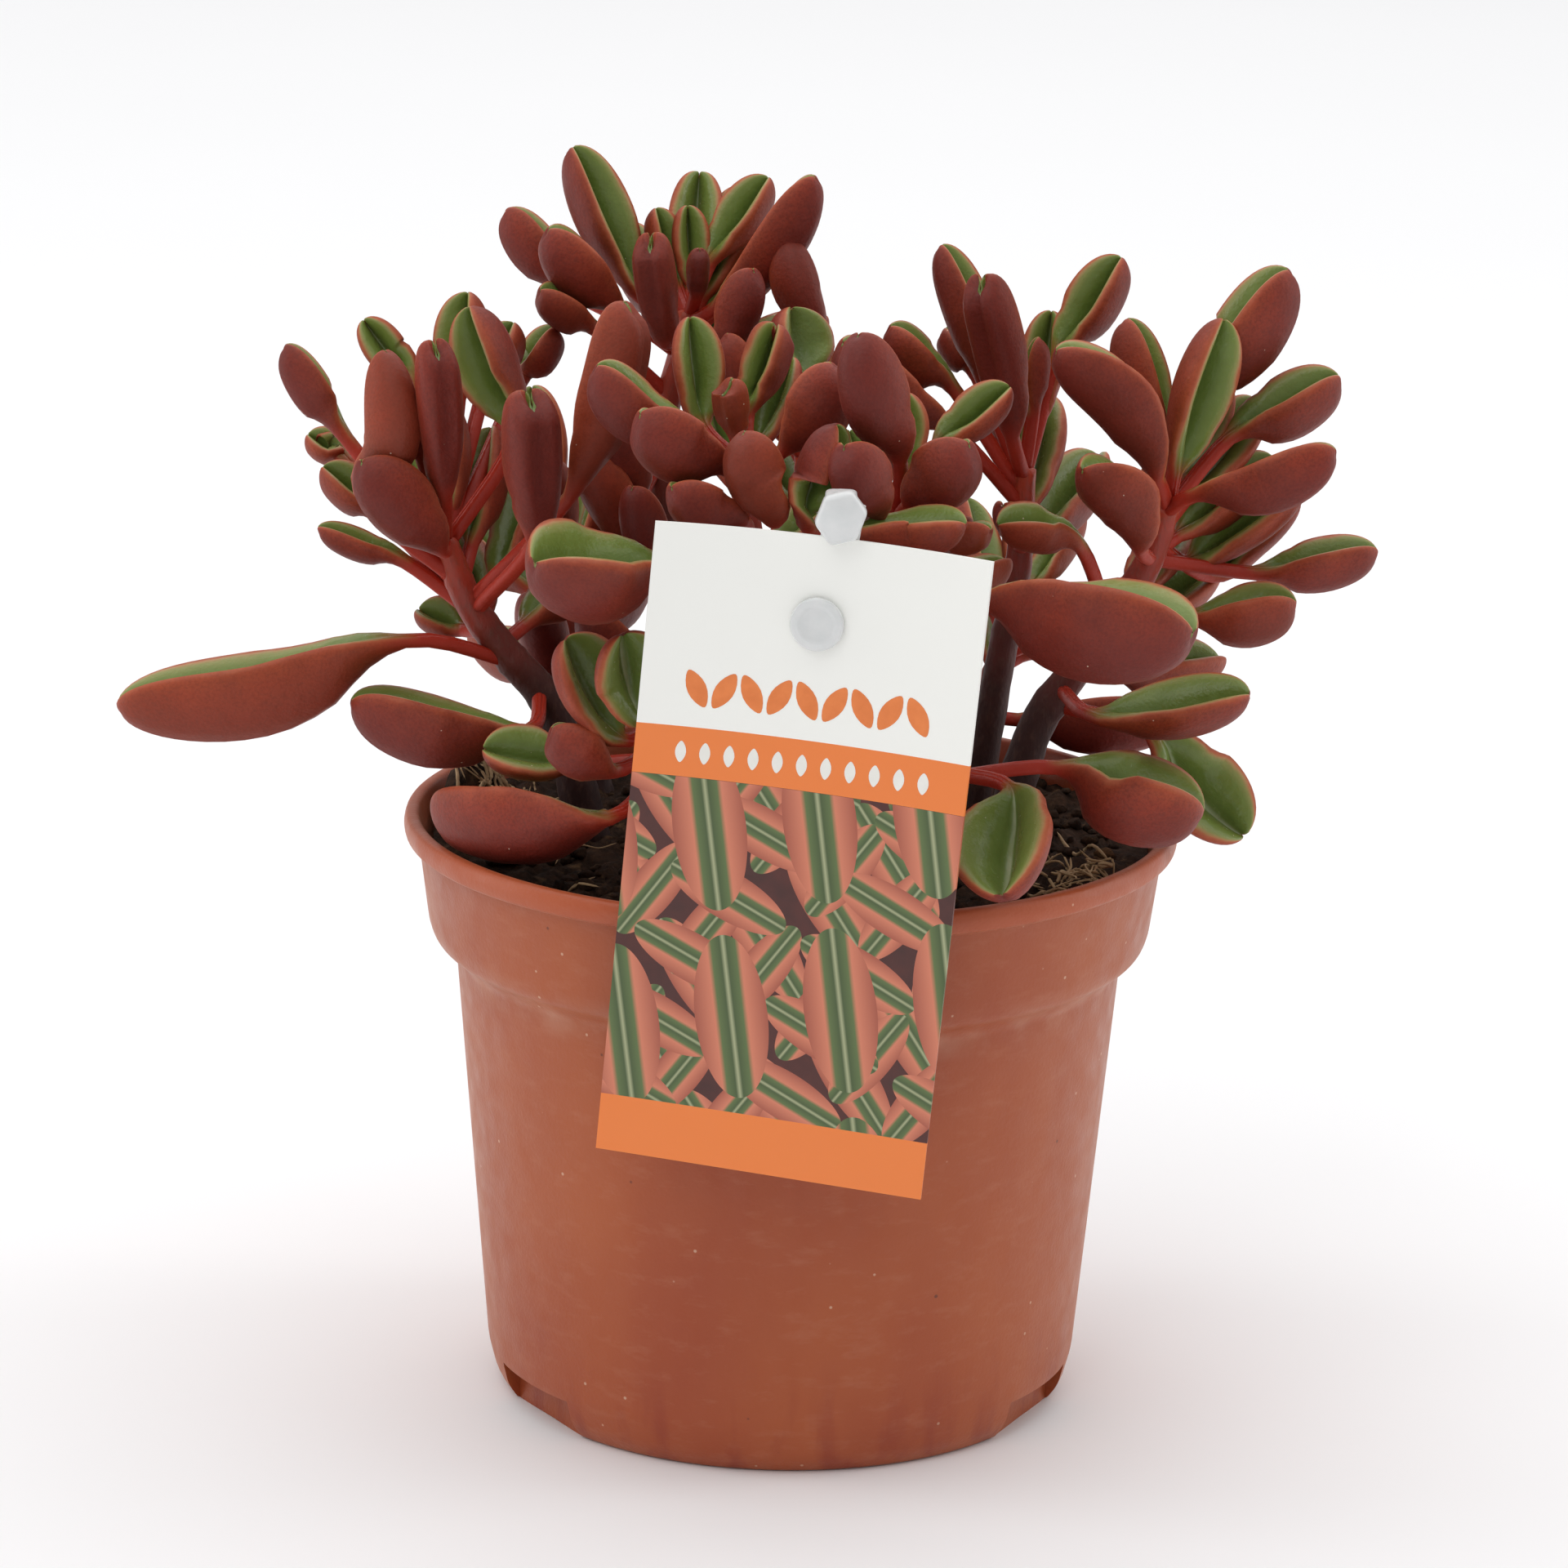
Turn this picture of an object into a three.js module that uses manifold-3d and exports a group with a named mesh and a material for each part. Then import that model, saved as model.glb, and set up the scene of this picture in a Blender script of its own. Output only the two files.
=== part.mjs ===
// Peperomia graveolens in a 12 cm plastic nursery pot, with a plant card on a clear stake.
// Millimetres, +Z up, front towards -Y. The origin is the middle of the pot's foot.

import * as THREE from 'three';
import { mergeVertices } from 'three/addons/utils/BufferGeometryUtils.js';
import Module from 'manifold-3d';

const wasm = await Module();
wasm.setup();

// Driving dimensions

const RIM_RADIUS = 60; // outside of the lip
const POT_HEIGHT = 92.3;
const POT_WALL = 1.1;
const STEP_HEIGHT = 70.1; // where the tapered body ends and the wide band begins
const FLOOR_TOP = 4.2;
const FLOOR_UNDER = 3;
const PAD_RADIUS = 9; // flat pad under the middle of the floor
const NOTCH = { width: 19.5, height: 6.4, count: 3, turn: 63, depth: 12, away: 48 };
const DRAIN = { radius: 2.6, circle: 26, count: 5 };

const SOIL_LEVEL = 88.2;
const GAP = 0.3; // clear space between separate pieces

const EYE_DISTANCE = 850; // the photograph's eye, in front of the pot's axis
const EYE_ACROSS = -1.2;
const EYE_HEIGHT = 323.5;

const CARD = { thickness: 0.6, bow: 3.4, holeRadius: 2.1 };
const BUTTON = { radius: 3.9, thickness: 1.1, stub: 1.7 };
const STAKE = { width: 5.6, thickness: 1.8 };
const KNOB = { radiusFront: 4.3, radiusBack: 4.1, thickness: 2.4, flattened: 0.9, turn: 0.35 };
const BRIDGE = { width: 4.6, depth: 5.4, height: 2.6, behind: 2.4, above: 1.8 }; // knob to spine
const FORK = { apart: 5.5, spread: 0.5, across: 1, width: 2.6, tip: [-51, 76], bend: [-53.2, 95] };
const FORK_HOLE = { width: 6.6, depth: 6.4, height: 24, apart: 5.8, y: -51.8, middle: 84 };

const STALK_RADIUS = 1.1;
const MARGIN_TURN = 2 / 3; // the outer face takes this share of the turn from keel to groove
const LEAF = { around: 6, along: 6, widest: 0.56, blunt: 2.1, bend: 0.2, centre: 0.4, notch: 0.6 };
const YOUNG = { fold: 70, blunt: 3.4, bend: 0.36 }; // leaves folded tighter than 70 degrees are young
const STEM = { around: 7, along: 7 };

// Places

const TO_VIEWER = new THREE.Vector3(0, -1, 0);

// A place as the eye sees it: across and up are read on the plane through the pot's axis,
// and depth moves it along its line of sight, away from the eye.
function seen(across, up, depth) {
  const stretch = (EYE_DISTANCE + depth) / EYE_DISTANCE;
  return new THREE.Vector3(
    EYE_ACROSS + (across - EYE_ACROSS) * stretch,
    depth,
    EYE_HEIGHT - (EYE_HEIGHT - up) * stretch,
  );
}

function curveThrough(points) {
  return new THREE.CatmullRomCurve3(points, false, 'catmullrom', 0.5);
}

// Solids

function closed(geometry) {
  geometry.deleteAttribute('normal');
  geometry.deleteAttribute('uv');
  return mergeVertices(geometry, 1e-4);
}

function solidOf(geometry) {
  const merged = closed(geometry);
  return new wasm.Manifold(new wasm.Mesh({
    numProp: 3,
    vertProperties: new Float32Array(merged.attributes.position.array),
    triVerts: new Uint32Array(merged.index.array),
  }));
}

function joined(solids) {
  return wasm.Manifold.union(solids);
}

function piece(name, solid, colour, roughness) {
  const { vertProperties, triVerts } = solid.simplify(0.06).getMesh();
  const geometry = new THREE.BufferGeometry();
  geometry.setAttribute('position', new THREE.BufferAttribute(vertProperties, 3));
  geometry.setIndex(new THREE.BufferAttribute(triVerts, 1));
  geometry.computeVertexNormals();
  const finish = new THREE.MeshStandardMaterial({ color: colour, roughness, metalness: 0 });
  const mesh = new THREE.Mesh(geometry, finish);
  mesh.name = name;
  return mesh;
}

// Moves every point of a ball whose pole is +Y. place(share, turn) gets the share of the way
// from the root pole to the tip pole and the point's unit direction round the pole.
function shapedBall(around, along, place) {
  const ball = closed(new THREE.SphereGeometry(1, around, along));
  const spot = ball.attributes.position;
  for (let i = 0; i < spot.count; i += 1) {
    const y = THREE.MathUtils.clamp(spot.getY(i), -1, 1);
    const share = Math.acos(y) / Math.PI;
    const wide = Math.hypot(spot.getX(i), spot.getZ(i));
    const isPole = wide < 1e-4;
    const turn = isPole ? { x: 0, z: -1 } : { x: spot.getX(i) / wide, z: spot.getZ(i) / wide };
    const p = place(share, turn, isPole);
    spot.setXYZ(i, p.x, p.y, p.z);
  }
  return solidOf(ball);
}

// Stem: a tapered round shoot along its path

function stemSolid(path, rootRadius, crownRadius) {
  const ring = 1 / STEM.along;
  return shapedBall(STEM.around, STEM.along, (share, turn, isPole) => {
    const t = THREE.MathUtils.clamp((share - ring) / (1 - 2 * ring), 0, 1);
    const centre = path.getPoint(t);
    const heading = path.getTangent(t);
    const side = new THREE.Vector3().crossVectors(TO_VIEWER, heading).normalize();
    const front = new THREE.Vector3().crossVectors(heading, side);
    const radius = isPole ? 0 : THREE.MathUtils.lerp(rootRadius, crownRadius, t);
    const cap = isPole ? crownRadius * (share > 0.5 ? 0.6 : -0.2) : 0;
    return centre.addScaledVector(heading, cap)
      .addScaledVector(side, -turn.x * radius)
      .addScaledVector(front, -turn.z * radius);
  });
}

// Leaf: a thick blade folded along its midrib like a canoe, on a round stalk

function bladeSwell(q, blunt) {
  if (q < LEAF.widest) {
    return Math.sin(Math.PI / 2 * q / LEAF.widest) ** 1.1;
  }
  const past = (q - LEAF.widest) / (1 - LEAF.widest);
  return Math.max(0, 1 - past ** blunt) ** (1 / blunt);
}

// Offset from the spine, sideways and towards the green face, at u from the midrib (0) to the margin (1).
function bladeSection(u, isOuter, q, half, fold) {
  const { blunt, bend } = fold > YOUNG.fold ? YOUNG : LEAF;
  const swell = bladeSwell(q, blunt);
  const isPastWidest = q > LEAF.widest;
  const width = isPastWidest ? half * swell : STALK_RADIUS + (half - STALK_RADIUS) * swell;
  const full = 0.8 + 0.32 * half;
  const thickness = isPastWidest
    ? full * swell ** 0.8
    : 2 * STALK_RADIUS + (full - 2 * STALK_RADIUS) * swell;
  const blade = Math.min(1, q / 0.3);
  const lift = THREE.MathUtils.degToRad(fold) * (0.25 + 0.75 * blade);
  const arc = width * bend / lift;
  const angle = lift * Math.min(1, u / bend);
  const straight = Math.max(0, u - bend) * width;
  const rise = (a, s) => arc * (1 - Math.cos(a)) + s * Math.sin(lift);
  const groove = THREE.MathUtils.lerp(0.9, 0.15, blade);
  const skin = thickness / 2 * Math.sqrt(1 - u ** 3)
    * (isOuter ? -1 : groove + (1 - groove) * Math.min(1, u / 0.45));
  return {
    side: arc * Math.sin(angle) + straight * Math.cos(lift) - skin * Math.sin(angle),
    face: rise(angle, straight) + skin * Math.cos(angle)
      - LEAF.centre * blade * rise(lift, (1 - bend) * width),
  };
}

function leafSolid(axis, root, base, tip, half, fold, facing, arch) {
  const lean = tip.clone().sub(root);
  const outward = lean.addScaledVector(axis, -lean.dot(axis)).normalize();
  const face = axis.clone().sub(outward).addScaledVector(TO_VIEWER, facing).normalize();
  const along = tip.clone().sub(base).normalize();
  const inward = face.clone().addScaledVector(along, -face.dot(along)).normalize();
  const middle = base.clone().lerp(tip, 0.5).addScaledVector(inward, -arch);
  const spine = curveThrough([root, base, middle, tip]);
  const cap = 1 / LEAF.along;
  const neck = 2 / LEAF.along;
  return shapedBall(LEAF.around, LEAF.along, (share, turn, isPole) => {
    const q = Math.sin(Math.PI / 2 * THREE.MathUtils.clamp((share - neck) / (1 - neck), 0, 1));
    const stalk = THREE.MathUtils.clamp((share - cap) / (neck - cap), 0, 1);
    const t = (stalk + 2 * q) / 3;
    const heading = spine.getTangent(t);
    const normal = face.clone().addScaledVector(heading, -face.dot(heading)).normalize();
    const side = new THREE.Vector3().crossVectors(normal, heading);
    const spot = spine.getPoint(t);
    const fromKeel = isPole ? 0 : Math.atan2(Math.abs(turn.z), -turn.x) / Math.PI;
    const isOuter = fromKeel <= MARGIN_TURN + 1e-3;
    const toMidrib = isOuter ? fromKeel / MARGIN_TURN : (1 - fromKeel) / (1 - MARGIN_TURN);
    const u = THREE.MathUtils.clamp(toMidrib, 0, 1);
    const nearTip = THREE.MathUtils.smoothstep(q, 0.85, 1);
    spot.addScaledVector(heading, -LEAF.notch * nearTip * (1 - u) ** 2);
    if (isPole) {
      return spot;
    }
    const at = bladeSection(u, isOuter, q, half, fold);
    const whichHalf = Math.abs(turn.z) > 1e-3 ? -Math.sign(turn.z) : 0;
    return spot.addScaledVector(side, whichHalf * at.side).addScaledVector(normal, at.face);
  });
}

// Seeded draws, the same on every run

function drawer(seed) {
  let state = seed;
  return (low, high) => {
    state = (state * 16807) % 2147483647;
    return low + (high - low) * state / 2147483647;
  };
}

// Leafy stems. path: [across, up, depth] from inside the soil to the crown. Each leaf row holds
// where it leaves the stem (0 soil, 1 crown), the blade's base and its tip [across, up, depth],
// the width of one half, the fold in degrees, how far the green face turns to the viewer,
// and the outward arch. hidden: leaves on the side that the photograph doesn't show.

const LEAFY_STEMS = [
  {
    name: 'leafy_stem_back', radius: [2.9, 1.8], axis: [0.05, 0, 1],
    path: [[-15, 84, 17], [-19, 120, 22], [-21, 148, 26], [-17, 170, 28]],
    leaves: [
      [0.97, [-24, 172, 30], [-35.2, 195, 32], 7.8, 60, 0.6, 1],
      [0.92, [-35, 173, 38], [-45, 185.3, 41], 7.5, 66, -0.4, 0.6],
      [0.90, [-27, 170, 24], [-38.8, 182.3, 20], 8.6, 62, 0.1, 1],
      [0.80, [-31, 167, 22], [-39.9, 173, 17], 6, 64, 0.3, 0.4],
      [0.96, [-20.5, 165.5, 20], [-23.3, 182, 17], 6, 80, -1.5, 0.6],
      [0.99, [-19, 174, 31], [-22.5, 186, 33], 5.2, 64, 0.4, 0.4],
      [1.00, [-16.5, 174, 31], [-17.6, 186.5, 34], 5, 62, 0.3, 0.4],
      [1.00, [-16, 173, 24], [-15.6, 180, 23], 3, 66, 0.2, 0],
      [0.98, [-13, 171, 24], [1.8, 191.2, 20], 7.8, 66, 0.25, 1.8],
      [1.00, [-14, 178, 31], [-5.3, 191, 35], 6.5, 62, 0.5, 0.6],
      [0.93, [0.5, 165.5, 19], [-3, 182.3, 20], 6.4, 66, -0.5, 1.8],
      [0.90, [-12, 164, 15], [-7.3, 177, 12], 6, 66, 0.1, 0.6],
      [0.66, [-25, 141, 18], [-28.5, 157, 12], 7.6, 58, 0.3, 0.8],
      [0.58, [-24.5, 134, 16], [-32.5, 148.5, 12], 6.8, 62, 0.1, 0.8],
      [0.48, [-21, 128, 12], [-25.5, 143, 6], 6, 60, 0.2, 0.8],
      [0.34, [-23, 113, 13], [-33, 123.5, 6], 6.6, 58, 0.2, 0.8],
    ],
    hidden: { count: 7, seed: 11, from: 0.82, to: 0.99, turn: [35, 145], rise: [18, 50], reach: [21, 27] },
  },
  {
    name: 'leafy_stem_left', radius: [3.1, 2], axis: [-0.35, 0, 0.94],
    path: [[-30, 84, -2], [-37, 107, -2], [-44, 116, -3], [-50, 124, -4], [-54, 134, -4]],
    leaves: [
      [0.84, [-69, 149.5, 2], [-78.5, 163.8, 3], 6.2, 64, -0.6, 0.4],
      [0.90, [-59, 158, 8], [-66.5, 168, 11], 5.2, 60, 0.8, 0.6],
      [0.84, [-65.5, 139.5, -8], [-63, 163.5, -11], 7.2, 66, 0.1, 5],
      [0.98, [-57.5, 147, -8], [-64.5, 160.8, -12], 5.8, 66, 0.1, 0.6],
      [1.00, [-54, 141, -12], [-55.5, 165, -16], 6.4, 80, -1.5, 0.6],
      [1.00, [-52, 156, 10], [-50.5, 172.6, 14], 7, 62, 0.4, 0.4],
      [0.99, [-48, 158, 14], [-43.5, 168, 18], 6, 62, 0.3, 0.6],
      [0.98, [-43.5, 150, -2], [-50.3, 170.5, 0], 8.2, 60, 0.7, 0.6],
      [0.97, [-43, 158, 20], [-37, 167.5, 22], 5.4, 66, -0.3, 0.3],
      [0.72, [-40.3, 134, -20], [-41, 157.5, -23], 8.4, 80, -2, 0.6],
      [0.76, [-35, 141, -14], [-25.8, 171.5, -12], 8.4, 80, -0.3, 1.4],
      [0.99, [-54.5, 132.5, -12], [-67, 146, -17], 8.8, 60, 0.35, 0.6],
      [0.70, [-60, 130.5, 0], [-73.5, 135.5, 0], 4.2, 62, 0.1, 0.4],
      [0.72, [-63, 137, 6], [-72.8, 145, 8], 6, 62, 0.1, 0.4],
      [0.80, [-69, 146, 12], [-75, 150, 14], 4.6, 62, 0.2, 0.3],
      [0.47, [-60, 118, -10], [-104.5, 106.5, -12], 12.8, 60, 0.05, 3.4],
      [0.32, [-41, 104, -14], [-68.5, 108, -17], 11.6, 52, 0.3, 2.6],
      [0.62, [-51, 120, 4], [-58, 123, 8], 5, 54, 0.2, 0.3],
    ],
    hidden: { count: 7, seed: 23, from: 0.55, to: 0.97, turn: [50, 140], rise: [12, 50], reach: [22, 28] },
  },
  {
    name: 'leafy_stem_middle_left', radius: [2.8, 1.8], axis: [0, 0, 1],
    path: [[-9, 76, -20], [-7, 118, -26], [-8, 147, -29]],
    leaves: [
      [0.97, [-16, 151.5, -29], [-31.3, 161.5, -31], 8.8, 62, 0.1, 2.6],
      [0.99, [-14.5, 152.5, -24], [-17, 169.5, -20], 6, 56, 1.1, 0.4],
      [1.00, [-9.5, 151, -30], [-11, 160, -31], 4.6, 80, 0, 0.3],
      [1.00, [-8, 155, -25], [-3.5, 168.7, -22], 6.4, 80, 0.5, 0.6],
      [0.97, [-2.5, 149, -31], [5, 162.8, -31], 9.2, 66, -0.2, 1.8],
      [0.90, [-11, 146, -38], [-24.6, 154.3, -43], 9.2, 64, 0, 1.8],
      [0.80, [-8.5, 138, -42], [-19.6, 143, -48], 6.6, 60, 0.2, 1.2],
      [0.92, [-3.5, 138, -44], [-8.6, 152, -45], 7.4, 64, 0.75, 1.2],
    ],
    hidden: { count: 3, seed: 37, from: 0.72, to: 0.97, turn: [60, 150], rise: [10, 45], reach: [17, 21] },
  },
  {
    name: 'leafy_stem_middle_right', radius: [2.7, 1.8], axis: [0, 0, 1],
    path: [[9, 76, -17], [13, 116, -24], [15, 139, -28]],
    leaves: [
      [0.95, [15.5, 148, -37], [8.5, 167.5, -41.5], 8.6, 64, 0, 2.4],
      [1.00, [16.5, 146, -25], [15.6, 158.6, -21], 5.6, 56, 0.9, 0.8],
      [0.90, [1.8, 137, -44], [5.5, 153.5, -46], 6.6, 54, 1.1, 0.8],
      [0.98, [12.5, 139.5, -45], [6.7, 150, -51], 7.8, 66, 0, 0.8],
      [0.97, [17, 141, -36], [26.2, 150.8, -40], 8.8, 66, 0, 1],
      [1.00, [21, 150, -20], [32, 159.7, -17], 6, 62, 0.6, 0.6],
      [0.86, [9.5, 136.5, -46], [26, 138, -49], 7.4, 46, 0.9, 0.8],
      [0.80, [21, 135.5, -38], [29.8, 137.3, -42], 4.8, 60, 0.2, 0.4],
    ],
    hidden: { count: 3, seed: 41, from: 0.7, to: 0.95, turn: [40, 140], rise: [5, 30], reach: [15, 19] },
  },
  {
    name: 'leafy_stem_middle_back', radius: [2.8, 1.8], axis: [0, 0.1, 1],
    path: [[0, 84, 6], [2, 118, 8], [1, 150, 10]],
    leaves: [
      [0.99, [0.5, 159, 6], [-1.8, 171.3, 9], 8.4, 38, 1.2, 0.4],
      [0.97, [-7, 156, 6], [-11.5, 167, 6], 5, 64, 0, 0.4],
    ],
    hidden: { count: 7, seed: 59, from: 0.72, to: 0.99, turn: [30, 130], rise: [8, 40], reach: [19, 24] },
  },
  {
    name: 'leafy_stem_inner_right', radius: [2.6, 1.8], axis: [0.05, 0, 1],
    path: [[27, 84, 9], [31, 112, 10], [34, 132, 10], [34.5, 147, 10]],
    leaves: [
      [0.94, [28.5, 159, 12], [20.7, 181.3, 14], 6.4, 66, 0.3, -0.6],
      [0.97, [32.5, 152, 4], [26.6, 176.6, 1], 6.8, 72, -0.8, -0.8],
      [1.00, [35.5, 156, 10], [36.2, 167.5, 10], 3.6, 66, 0.1, 0],
      [0.98, [39, 164, 15], [48.3, 180, 17], 7.4, 64, 0.45, 0.8],
      [0.86, [23, 153, 2], [6, 166, -5], 10.2, 62, 0.1, 2.6],
      [0.90, [23.5, 159, 9], [13.2, 168.6, 7], 7, 62, 0.2, 1],
      [0.92, [27, 161, 19], [21.6, 168.5, 21], 5, 64, 0, 0.4],
      [0.72, [34.5, 136, 2], [31.3, 141.5, -2], 4.6, 54, 0.3, 0.3],
    ],
    hidden: { count: 5, seed: 67, from: 0.7, to: 0.99, turn: [65, 125], rise: [20, 60], reach: [20, 25] },
  },
  {
    name: 'leafy_stem_right', radius: [3.1, 2], axis: [0.4, 0, 0.92],
    path: [[32, 84, -6], [37, 105, -6], [43.5, 116, -6], [53, 131, -6], [56.5, 141.5, -6]],
    leaves: [
      [1.00, [54.8, 146, -13], [38.4, 165.3, -17], 9.6, 64, 0.1, -3],
      [1.00, [56, 150, -2], [49, 170.6, 1], 7.6, 66, 0, 0.6],
      [1.00, [57.5, 147, -8], [63.8, 171, -5], 7.6, 54, 0.9, 0.8],
      [0.98, [59, 156.5, 4], [73.8, 178.5, 3], 10.6, 58, -0.9, 1],
      [0.97, [65.5, 152.5, 0], [82, 162.3, 2], 8.4, 66, 0, 1],
      [0.98, [60.5, 143.5, -12], [82, 150.8, -15], 8.6, 62, 0.15, 2],
      [0.86, [60, 133, 0], [77.2, 146.3, 3], 7.6, 60, 0.7, 0.8],
      [0.86, [63.5, 131, 8], [76.5, 143.7, 11], 5.6, 62, 0.5, 0.6],
      [0.80, [52.5, 135, -20], [43, 147, -26], 8.8, 62, 0.15, -2.4],
      [0.80, [70, 131.5, 2], [89, 135.3, 4], 7.4, 62, -0.1, 1],
      [0.62, [43.5, 135, -16], [30.5, 138, -21], 6.6, 54, 0.3, -0.8],
      [0.70, [60.5, 124.5, -6], [77, 126.8, -8], 9, 60, 0.1, 1.4],
      [0.42, [46.5, 108.4, -24], [70.5, 112.2, -27], 8.4, 44, 0.9, 1.4],
      [0.36, [55, 106, -12], [70.5, 89.5, -14], 9, 44, 1, 2.2],
    ],
    hidden: { count: 7, seed: 71, from: 0.5, to: 0.98, turn: [40, 100], rise: [12, 50], reach: [21, 27] },
  },
  {
    name: 'leafy_stem_low_front_left', radius: [2.4, 1.8], axis: [0.1, 0.2, 0.97],
    path: [[-21, 73, -30], [-21, 102, -35], [-18, 121, -38]],
    leaves: [
      [0.95, [-20, 130, -43], [-40.5, 130.5, -55], 14, 50, 0.5, 2],
      [0.60, [-26.5, 103, -40], [-35.5, 119, -41], 8.4, 42, 1.6, 1],
      [0.62, [-23.5, 106, -46], [-26.5, 120, -49], 8, 40, 2.4, 0.8],
      [0.50, [-27.5, 98, -40], [-37.5, 104.5, -41], 8, 54, 0.1, 0.8],
      [0.40, [-28, 90.5, -41], [-54.5, 90, -19], 12.2, 50, 0.2, 1.6],
      [0.46, [-33, 99, -27], [-48, 101, -27], 6.4, 46, 0.6, 0.6],
    ],
    hidden: { count: 0, seed: 1, from: 0.5, to: 0.9, turn: [30, 150], rise: [10, 30], reach: [15, 20] },
  },
  {
    name: 'leafy_stem_low_front_right', radius: [2.4, 1.8], axis: [-0.1, 0.2, 0.97],
    path: [[22, 73, -28], [24, 103, -34], [20, 118, -38]],
    leaves: [
      [0.96, [28, 126, -43], [61.5, 121.5, -56], 16.4, 56, 0.08, 1.6],
      [0.40, [41, 100, -33], [64, 93, -36], 13.4, 54, 0.06, 1.6],
      [0.42, [34, 96.5, -43], [33, 79, -64], 10.4, 46, 1.6, 0.4],
    ],
    hidden: { count: 0, seed: 1, from: 0.5, to: 0.9, turn: [30, 150], rise: [10, 30], reach: [15, 20] },
  },
  {
    name: 'leafy_stem_far_left', radius: [2.7, 1.8], axis: [-0.2, 0.25, 0.95],
    path: [[-28, 84, 26], [-33, 110, 32], [-37, 134, 38]],
    leaves: [
      [0.36, [-36.5, 111, 25], [-41, 126, 20], 6.6, 60, 0.2, 0.6],
      [0.80, [-36, 131, 30], [-38, 147, 27], 6.4, 60, 0, 0.6],
    ],
    hidden: { count: 9, seed: 83, from: 0.5, to: 1, turn: [-10, 190], rise: [10, 66], reach: [21, 27] },
  },
  {
    name: 'leafy_stem_far_right', radius: [2.7, 1.8], axis: [0.25, 0.3, 0.93],
    path: [[24, 84, 28], [29, 108, 37], [34, 124, 45]],
    leaves: [],
    hidden: { count: 8, seed: 97, from: 0.5, to: 1, turn: [-10, 170], rise: [14, 64], reach: [21, 27] },
  },
];

const GOLDEN_TURN = 137.5;

// Hidden leaves spiral up the stem: each is one golden turn past the last, kept in the allowed range.
function hiddenLeaves(rule, path, axis) {
  const draw = drawer(rule.seed);
  const across = new THREE.Vector3().crossVectors(new THREE.Vector3(0, 1, 0), axis).normalize();
  const back = new THREE.Vector3().crossVectors(axis, across);
  const [firstTurn, lastTurn] = rule.turn;
  const leaves = [];
  for (let i = 0; i < rule.count; i += 1) {
    const share = i / (rule.count - 1);
    const turn = THREE.MathUtils.degToRad(firstTurn + (i * GOLDEN_TURN) % (lastTurn - firstTurn));
    const rise = THREE.MathUtils.degToRad(THREE.MathUtils.lerp(...rule.rise, share) + draw(-5, 5));
    const reach = draw(...rule.reach) * (1 - 0.25 * share);
    const root = path.getPoint(THREE.MathUtils.lerp(rule.from, rule.to, share));
    const outward = across.clone().multiplyScalar(Math.cos(turn)).addScaledVector(back, Math.sin(turn));
    const heading = outward.clone().multiplyScalar(Math.cos(rise)).addScaledVector(axis, Math.sin(rise));
    const base = root.clone().addScaledVector(heading, 5 + draw(0, 3));
    const tip = base.clone().addScaledVector(heading, reach).addScaledVector(axis, 0.12 * reach);
    leaves.push([root, base, tip, 0.36 * reach, draw(56, 68), 0, 0.05 * reach]);
  }
  return leaves;
}

function leafyStem(plan) {
  const axis = new THREE.Vector3(...plan.axis).normalize();
  const path = curveThrough(plan.path.map((spot) => seen(...spot)));
  const rows = plan.leaves.map(([at, base, tip, ...form]) => (
    [path.getPoint(at), seen(...base), seen(...tip), ...form]));
  const leaves = [...rows, ...hiddenLeaves(plan.hidden, path, axis)];
  return joined([stemSolid(path, ...plan.radius), ...leaves.map((leaf) => leafSolid(axis, ...leaf))]);
}

// Pot: one turned shell, with a thick lip, a wide band, a tapered body and a foot ring

function potProfile() {
  const outside = [
    [PAD_RADIUS, 0], [PAD_RADIUS + 1, FLOOR_UNDER], [40.6, FLOOR_UNDER], [41.6, 0], [43.4, 0],
    [45.2, 2.6], [46.3, 6.9], [51.7, STEP_HEIGHT], [53, 71.6], [55.2, 73.2], [56, 75.4], [57.7, 88.2],
    [59.6, 88.7], [RIM_RADIUS, 90.4], [RIM_RADIUS - 0.5, POT_HEIGHT],
  ];
  const inside = [
    [57.7, POT_HEIGHT], [57.6 - POT_WALL, 88], [55.8 - POT_WALL, 75.6],
    [51.7 - POT_WALL, STEP_HEIGHT + 1], [46.6 - POT_WALL, 10], [43.4, FLOOR_TOP],
  ];
  const corners = [[0, 0], ...outside, ...inside, [0, FLOOR_TOP]];
  return corners.map(([r, z]) => new THREE.Vector2(r, z));
}

function turned(profile, segments) {
  const lathe = new THREE.LatheGeometry(profile, segments);
  lathe.rotateX(Math.PI / 2);
  return lathe;
}

function boxAt(width, depth, height, x, y, z) {
  const box = new THREE.BoxGeometry(width, depth, height);
  box.translate(x, y, z);
  return box;
}

function potSolid() {
  let pot = solidOf(turned(potProfile(), 36));
  for (let i = 0; i < NOTCH.count; i += 1) {
    const below = 4;
    const middle = (NOTCH.height - below) / 2;
    const cut = boxAt(NOTCH.width, NOTCH.depth, NOTCH.height + below, 0, -NOTCH.away, middle);
    cut.rotateZ(THREE.MathUtils.degToRad(NOTCH.turn + i * 360 / NOTCH.count));
    pot = pot.subtract(solidOf(cut));
  }
  for (let i = 0; i < DRAIN.count; i += 1) {
    const hole = new THREE.CylinderGeometry(DRAIN.radius, DRAIN.radius, 8, 8);
    hole.rotateX(Math.PI / 2);
    hole.translate(DRAIN.circle, 0, FLOOR_TOP);
    hole.rotateZ(i * 2 * Math.PI / DRAIN.count);
    pot = pot.subtract(solidOf(hole));
  }
  return pot;
}

// Soil: a plug that fills the pot, with a lumpy top and plain holes for what stands in it

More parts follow.
